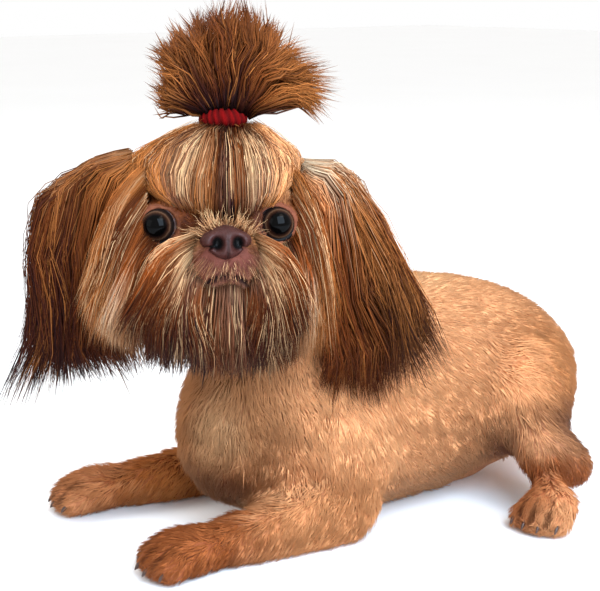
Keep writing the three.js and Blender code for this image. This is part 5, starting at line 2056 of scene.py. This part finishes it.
@dataclass
class Band:
    """The gathered elastic band round the root of the topknot."""

    gathers: int = 19
    depth: float = 0.55

    def build(self, finish: Material) -> None:
        """Makes the band and lets it stand for the solid one."""
        shape = bmesh.new()
        ring = bmesh.ops.create_circle(shape, segments=20, radius=BAND_THICK)["verts"]
        bmesh.ops.rotate(shape, matrix=Matrix.Rotation(math.pi / 2, 3, "X"), verts=ring)
        bmesh.ops.translate(shape, vec=(BAND_RADIUS, 0, 0), verts=ring)
        bmesh.ops.spin(
            shape, geom=shape.verts[:] + shape.edges[:], axis=(0, 0, 1), cent=(0, 0, 0),
            steps=self.gathers * 8, angle=2 * math.pi, use_merge=True,
        )
        ridges: list[Points] = []

        def gather(spots: Points) -> Points:
            around = np.arctan2(spots[:, 1], spots[:, 0])
            wobble = 0.35 * np.sin(3 * around + 1) + 0.25 * np.sin(7 * around + 2)
            fold = np.sin(self.gathers * around + wobble * 2 + 0.35 * spots[:, 2])
            # How far the gathers bulge out, which the material paints lighter, and fold in, which it paints darker:
            # painted light and shade.
            ridges.append(0.5 + 0.5 * fold)
            size = 1 + self.depth * 0.16 * fold + 0.04 * np.sin(2 * self.gathers * around)
            core = np.stack([np.cos(around), np.sin(around), np.zeros(len(around))], axis=1) * BAND_RADIUS
            out = core * 0.92 + (spots - core) * size[:, None] * 0.86
            out[:, 2] *= 1.12
            out[:, 2] += 0.35 * wobble
            return STANCE.head(out + np.array(BAND_AT))

        made = finished("topknot_elastic", warped(shape, gather), finish, ["topknot_band"])
        carry(made.data, "ridge", ridges[0])


@dataclass
class Claws:
    """Four short claws on each foot, at the ends of the toes."""

    root: float = 1.3

    def build(self, finish: Material) -> None:
        """Makes the claws of each foot as one piece."""
        for name, foot in FEET.items():
            run, aside = forward(foot.turn), leftward(foot.turn)
            shape = bmesh.new()
            for place in (-1.5, -0.5, 0.5, 1.5):
                tip = foot.claws * (0.82 - 0.06 * abs(place) ** 1.5) + 4.0
                at = foot.heel + run * (tip - 2) + aside * place * foot.wide * TOE_GAP
                stations = (
                    Station((*(at - run * 3)[:2], 6.5), self.root, self.root * 1.2),
                    Station((*(at + run * 1.5)[:2], 6.2), self.root * 0.8, self.root),
                    Station((*(at + run * 4.2)[:2], 3.4), 0.35, 0.4),
                )
                put_in(shape, warped(swept(stations, aside, 12, 12, 0.2), STANCE.body))
            finished(f"claws_{name}", shape, finish)


@dataclass(frozen=True)
class Patch:
    """Short coat over one part of the skin: how many tufts, their size in millimetres, and their clumps."""

    name: str
    slot: str
    count: int
    cut: Cut
    length: float
    height: float
    clumps: float
    pinch: float
    seed: int


class ShortCoat:
    """The short coat: tufts that lie over the skin of trunk, legs and face."""

    def __init__(self, groom: Groom, finish: Material) -> None:
        """Keeps what the patches share."""
        self.groom = groom
        self.finish = finish
        spots = groom.middle
        self.body = STANCE.to_body(spots)
        self.head = STANCE.to_head(spots)
        self.on_head = MarkingsAndShade.head_share(spots)

    def weights(self, name: str) -> Points:
        """How densely the tufts of a patch stand on each face of the skin."""
        x, y, z = self.body.T
        head = self.head
        clear = smooth(0.5, 2.5, z) * (1 - self.on_head)
        low = smooth(44, 34, z)
        leg = smooth(30, 22, np.min([self.off_leg(name) for name in FORELEGS], axis=0))
        trunk = clear * (1 - leg)
        if name == "coat_legs_fore":
            return clear * leg * (y < 45)
        if name == "coat_breast":
            return trunk * (y < -8)
        if name == "coat_flank":
            return trunk * (y >= -8) * (y < 86)
        if name == "coat_rump":
            return trunk * (y >= 86) * (1 - low * smooth(60, 80, y))
        if name == "coat_legs_hind":
            return trunk * (y >= 60) * low * (np.abs(x) > 40)
        face = self.on_head.copy()
        for off in self.off_eyes(head):
            face = face * smooth(8.6, 9.4, off) * (1 + 5 * smooth(20, 11, off))
        muzzle = np.linalg.norm((head - np.array([0, -52, 0])) / np.array([13, 12, 8]), axis=1)
        bare = np.linalg.norm((head - np.array([0, -50, -12])) / np.array([15, 14, 8.5]), axis=1)
        face = face * smooth(0.75, 0.95, muzzle) * smooth(32, 24, head[:, 2]) * (0.04 + 0.96 * smooth(0.8, 1.2, bare))
        return face * (0.45 + 0.55 * smooth(-18, -28, head[:, 1]))

    @staticmethod
    def off_eyes(head: Points) -> list[Points]:
        """How far places of the head's frame lie from the front of each eye."""
        return [np.linalg.norm(head - np.array(eye) + EYE_INSET, axis=1) for eye in EYES.values()]

    def off_leg(self, name: str) -> Points:
        """How far each face lies from a foreleg's line, from the elbow to a little beyond the paw."""
        elbow, toward, _ = FORELEGS[name]
        start = np.array(elbow)
        run = start + (FOREARM + 50) * forward(toward) - start
        share = np.clip(((self.body - start) @ run) / (run @ run), 0, 1)
        return np.linalg.norm(self.body - (start + run * share[:, None]), axis=1)

    def face_lie(self, spots: Points, normals: Points) -> Points:
        """Which way the face's hair runs: out and down from the nose, up over the brow."""
        head = STANCE.to_head(spots)
        x, y, z = head.T
        out = head - np.array([0, -50, 2])
        apart = np.sign(x) * 0.35 * smooth(4, 20, np.abs(x))
        down = np.stack([apart, np.zeros(len(x)), -np.ones(len(x))], axis=1)
        rise = np.array(BAND_AT) + np.array([0, 0, -2]) - head
        brow = smooth(12, 22, z)[:, None]
        side = smooth(14, 34, np.abs(x))[:, None]
        way = unit(out) * (1 - side * 0.6) + down * side * 0.8
        way = unit(way) * (1 - brow) + unit(rise) * brow
        back = smooth(-20, 10, y)[:, None]
        way = way * (1 - back * 0.7) + np.array([0, 0.4, -0.6]) * back
        for eye in EYES.values():
            off = head - np.array(eye) + np.array([0, 6, 0])
            near = smooth(22, 12, np.linalg.norm(off, axis=1))[:, None]
            way = way * (1 - near) + unit(off) * near
        return self.groom.along_skin(self.groom.swirled(STANCE.head_way(way), head, 0.25), normals)

    def build(self, patch: Patch) -> None:
        """Grows one patch of the coat."""
        rng = np.random.default_rng(patch.seed)
        groom = self.groom
        face = patch.name.startswith("coat_face")
        weight = self.weights(patch.name)
        roots, normals = groom.scatter(patch.count, weight, rng)
        uneven = 1 + 0.3 * ripple(STANCE.to_body(roots), 16, patch.seed)
        length = patch.length * MM * rng.uniform(0.7, 1.25, patch.count) * uneven.clip(0.5, 1.5)
        height = patch.height * MM * rng.uniform(0.6, 1.25, patch.count) * uneven.clip(0.5, 1.5)
        if face:
            head = STANCE.to_head(roots)
            eyes = np.min(self.off_eyes(head), axis=0)
            nose = np.linalg.norm(head - np.array([0, -52, -6]), axis=1)
            short = smooth(8, 26, eyes) * smooth(6, 30, nose)
            length *= 0.6 + 0.4 * short
            height *= 0.9 + 0.1 * short
        lie = self.face_lie if face else groom.body_lie
        paths = groom.laid(roots, normals, lie, length, height, patch.cut.stations, rng)
        paths, group = gathered(paths, int(patch.count * patch.clumps), patch.pinch, rng)
        low = STANCE.body((0, 0, 0.3))[2]
        paths[:, :, 2] = np.maximum(paths[:, :, 2], low)
        tones = MARKINGS_AND_SHADE.at(paths[:, 1]) * rng.normal(1, 0.05, group.max() + 1)[group][:, None]
        tufts = Strands(patch.name, patch.cut, paths, normals, tones, self.flat(roots, face), patch.seed + 1)
        tufts.build(patch.slot, self.finish)

    def flat(self, roots: Points, face: bool) -> Points:
        """The roots' places on an unwrap of the skin: round and along the body, or round the head."""
        if face:
            ways = unit(STANCE.to_head(roots))
            u = np.arctan2(ways[:, 0], -ways[:, 1]) / (2 * np.pi) + 0.5
            v = np.arccos(np.clip(ways[:, 2], -1, 1)) / np.pi
        else:
            x, y, z = STANCE.to_body(roots).T
            u = np.arctan2(x, z - 55) / (2 * np.pi) + 0.5
            v = y
        both = np.stack([u, v], axis=1)
        low, high = both.min(axis=0), both.max(axis=0)
        return (both - low) / (high - low)


TUFT = Cut(width=1.0, stations=2, blunt=0.7, root=1.0, vary=0.06, shaded_root=0.86, lit_tip=1.06)
FACE_TUFT = Cut(width=0.66, stations=2, blunt=0.7, vary=0.08, shaded_root=0.8, lit_tip=1.08)
PATCHES = (
    Patch("coat_flank", "coat", 22000, TUFT, 10.5, 2.6, 0.07, 0.22, 201),
    Patch("coat_rump", "coat", 18000, TUFT, 10.5, 2.6, 0.07, 0.22, 202),
    Patch("coat_breast", "coat", 20000, TUFT, 11.5, 3.2, 0.07, 0.3, 203),
    Patch("coat_legs_fore", "leg_coat", 20000, TUFT, 9, 2.8, 0.09, 0.4, 204),
    Patch("coat_legs_hind", "leg_coat", 13000, TUFT, 9, 2.6, 0.09, 0.4, 205),
    Patch("coat_face", "face_coat", 16500, FACE_TUFT, 9, 1.9, 0.16, 0.5, 206),
)


@dataclass
class Studio:
    """Pale floor in a white room, soft lights, and the camera at the photograph's angle."""

    camera_at: Spot = (590.0, -503.0, 286.0)
    turn: float = 50.0
    height: float = 12.0
    lens: float = 90.0
    gap: float = 0.0003

    def build(self) -> None:
        """Sets up everything round the animal."""
        scene = bpy.context.scene
        scene.view_settings.view_transform = "Standard"
        floor = bmesh.new()
        bmesh.ops.create_grid(floor, x_segments=2, y_segments=2, size=6)
        ground = float(STANCE.body((0, 0, 0))[2])
        bmesh.ops.translate(floor, vec=(0, 0, ground - self.gap), verts=floor.verts)
        paint = Paint("floor")
        tint = paint.blend(rgba(0.975, 0.972, 0.968), rgba(0.99, 0.988, 0.985), paint.noise(3, 2))
        paint.set(Base_Color=tint, Roughness=0.6, Specular_IOR_Level=0.2)
        mesh = mesh_of(floor, "floor")
        mesh.materials.append(paint.material)
        object_of("floor", mesh)
        world = bpy.data.worlds.new("room")
        scene.world = world
        world.use_nodes = True
        glow = world.node_tree.nodes["Background"]
        glow.inputs["Color"].default_value = (1.0, 1.0, 1.0, 1)
        glow.inputs["Strength"].default_value = 1.0
        back = bearing(self.turn, self.height)
        right = leftward(math.radians(self.turn))
        up = np.cross(back, right)
        aim = STANCE.body((0, 0, 110))
        self.area("key", aim + back * 0.7 + right * 0.6 + up * 1.1, aim, 0.6, 0.6, 5.0, (1.0, 0.88, 0.76))
        self.area("window", aim + back * 0.9 + right * 0.42 + up * 0.42, aim, 0.75, 0.95, 24.0, (0.62, 0.8, 1.0))
        self.area("fill", aim + back * 0.9 - right * 1.2 + up * 0.35, aim, 1.0, 1.0, 4.0, (0.95, 0.97, 1.0))
        self.area("top", aim - back * 0.5 + up * 1.4 - right * 0.2, aim, 1.2, 0.8, 9.0, (1.0, 1.0, 1.0))
        cam = bpy.data.objects.new("camera", bpy.data.cameras.new("camera"))
        scene.collection.objects.link(cam)
        cam.location = Vector(STANCE.body(self.camera_at))
        cam.rotation_mode = "QUATERNION"
        cam.rotation_quaternion = Vector(-back).to_track_quat("-Z", "Y")
        cam.data.sensor_width = 36
        cam.data.lens = self.lens
        cam.data.clip_start = 0.01
        cam.data.clip_end = 50
        scene.camera = cam

    @staticmethod
    def area(name: str, at: Points, aim: Points, wide: float, high: float, power: float, tint: Spot) -> None:
        """Adds a soft rectangular light that faces the animal."""
        lamp = bpy.data.lights.new(name, "AREA")
        lamp.shape = "RECTANGLE"
        lamp.size, lamp.size_y = wide, high
        lamp.energy = power
        lamp.color = tint
        made = bpy.data.objects.new(name, lamp)
        made.location = Vector(at)
        made.rotation_mode = "QUATERNION"
        made.rotation_quaternion = (Vector(at) - Vector(aim)).to_track_quat("Z", "Y")
        bpy.context.scene.collection.objects.link(made)


def dress_skin(skin: Skin, finish: Material) -> None:
    """Gives the skin its markings and painted shade and its material, and lets it stand for the flesh."""
    mesh = skin.obj.data
    carry_tones(mesh, MARKINGS_AND_SHADE.at(spots_of(mesh)))
    mesh.materials.clear()
    mesh.materials.append(finish)
    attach(skin.obj, "root")
    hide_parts(*FLESH, "head", "ear_left", "ear_right", "tail")


def main() -> None:
    """Builds the animal from the skin out, then the studio."""
    skin = Skin()
    skin.build()
    LOG.info("skin: %d faces", len(skin.obj.data.polygons))
    dress_skin(skin, SkinFinish().material())
    wet = WetFinish("lid_skin", rgba(0.045, 0.02, 0.018), rgba(0.30, 0.17, 0.15)).material()
    eye_finish = EyeFinish().material()
    for eye in (Eye(1, "left", (2, 4), (8, 2), 53, 52), Eye(-1, "right", (-9, 4), (-8, 1), 64, 57)):
        eye.build_ball(eye_finish)
        eye.build_lid(wet)
    Nose().build(LeatherFinish().material())
    Band().build(BandFinish().material())
    Claws().build(ClawFinish().material())
    hair = HairFinish().material()
    groom = Groom(skin)
    short = ShortCoat(groom, hair)
    for patch in PATCHES:
        short.build(patch)
    for tress in FACE_TRESSES:
        tress.grown().build("face_coat", hair)
    for tress in LONG_TRESSES:
        made = tress.grown().build("long_hair", hair)
        if tress.name == "hair_topknot":
            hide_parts("topknot")
    Studio().build()


if __name__ == "__main__":
    logging.basicConfig(level=logging.INFO, format="%(message)s")
    main()
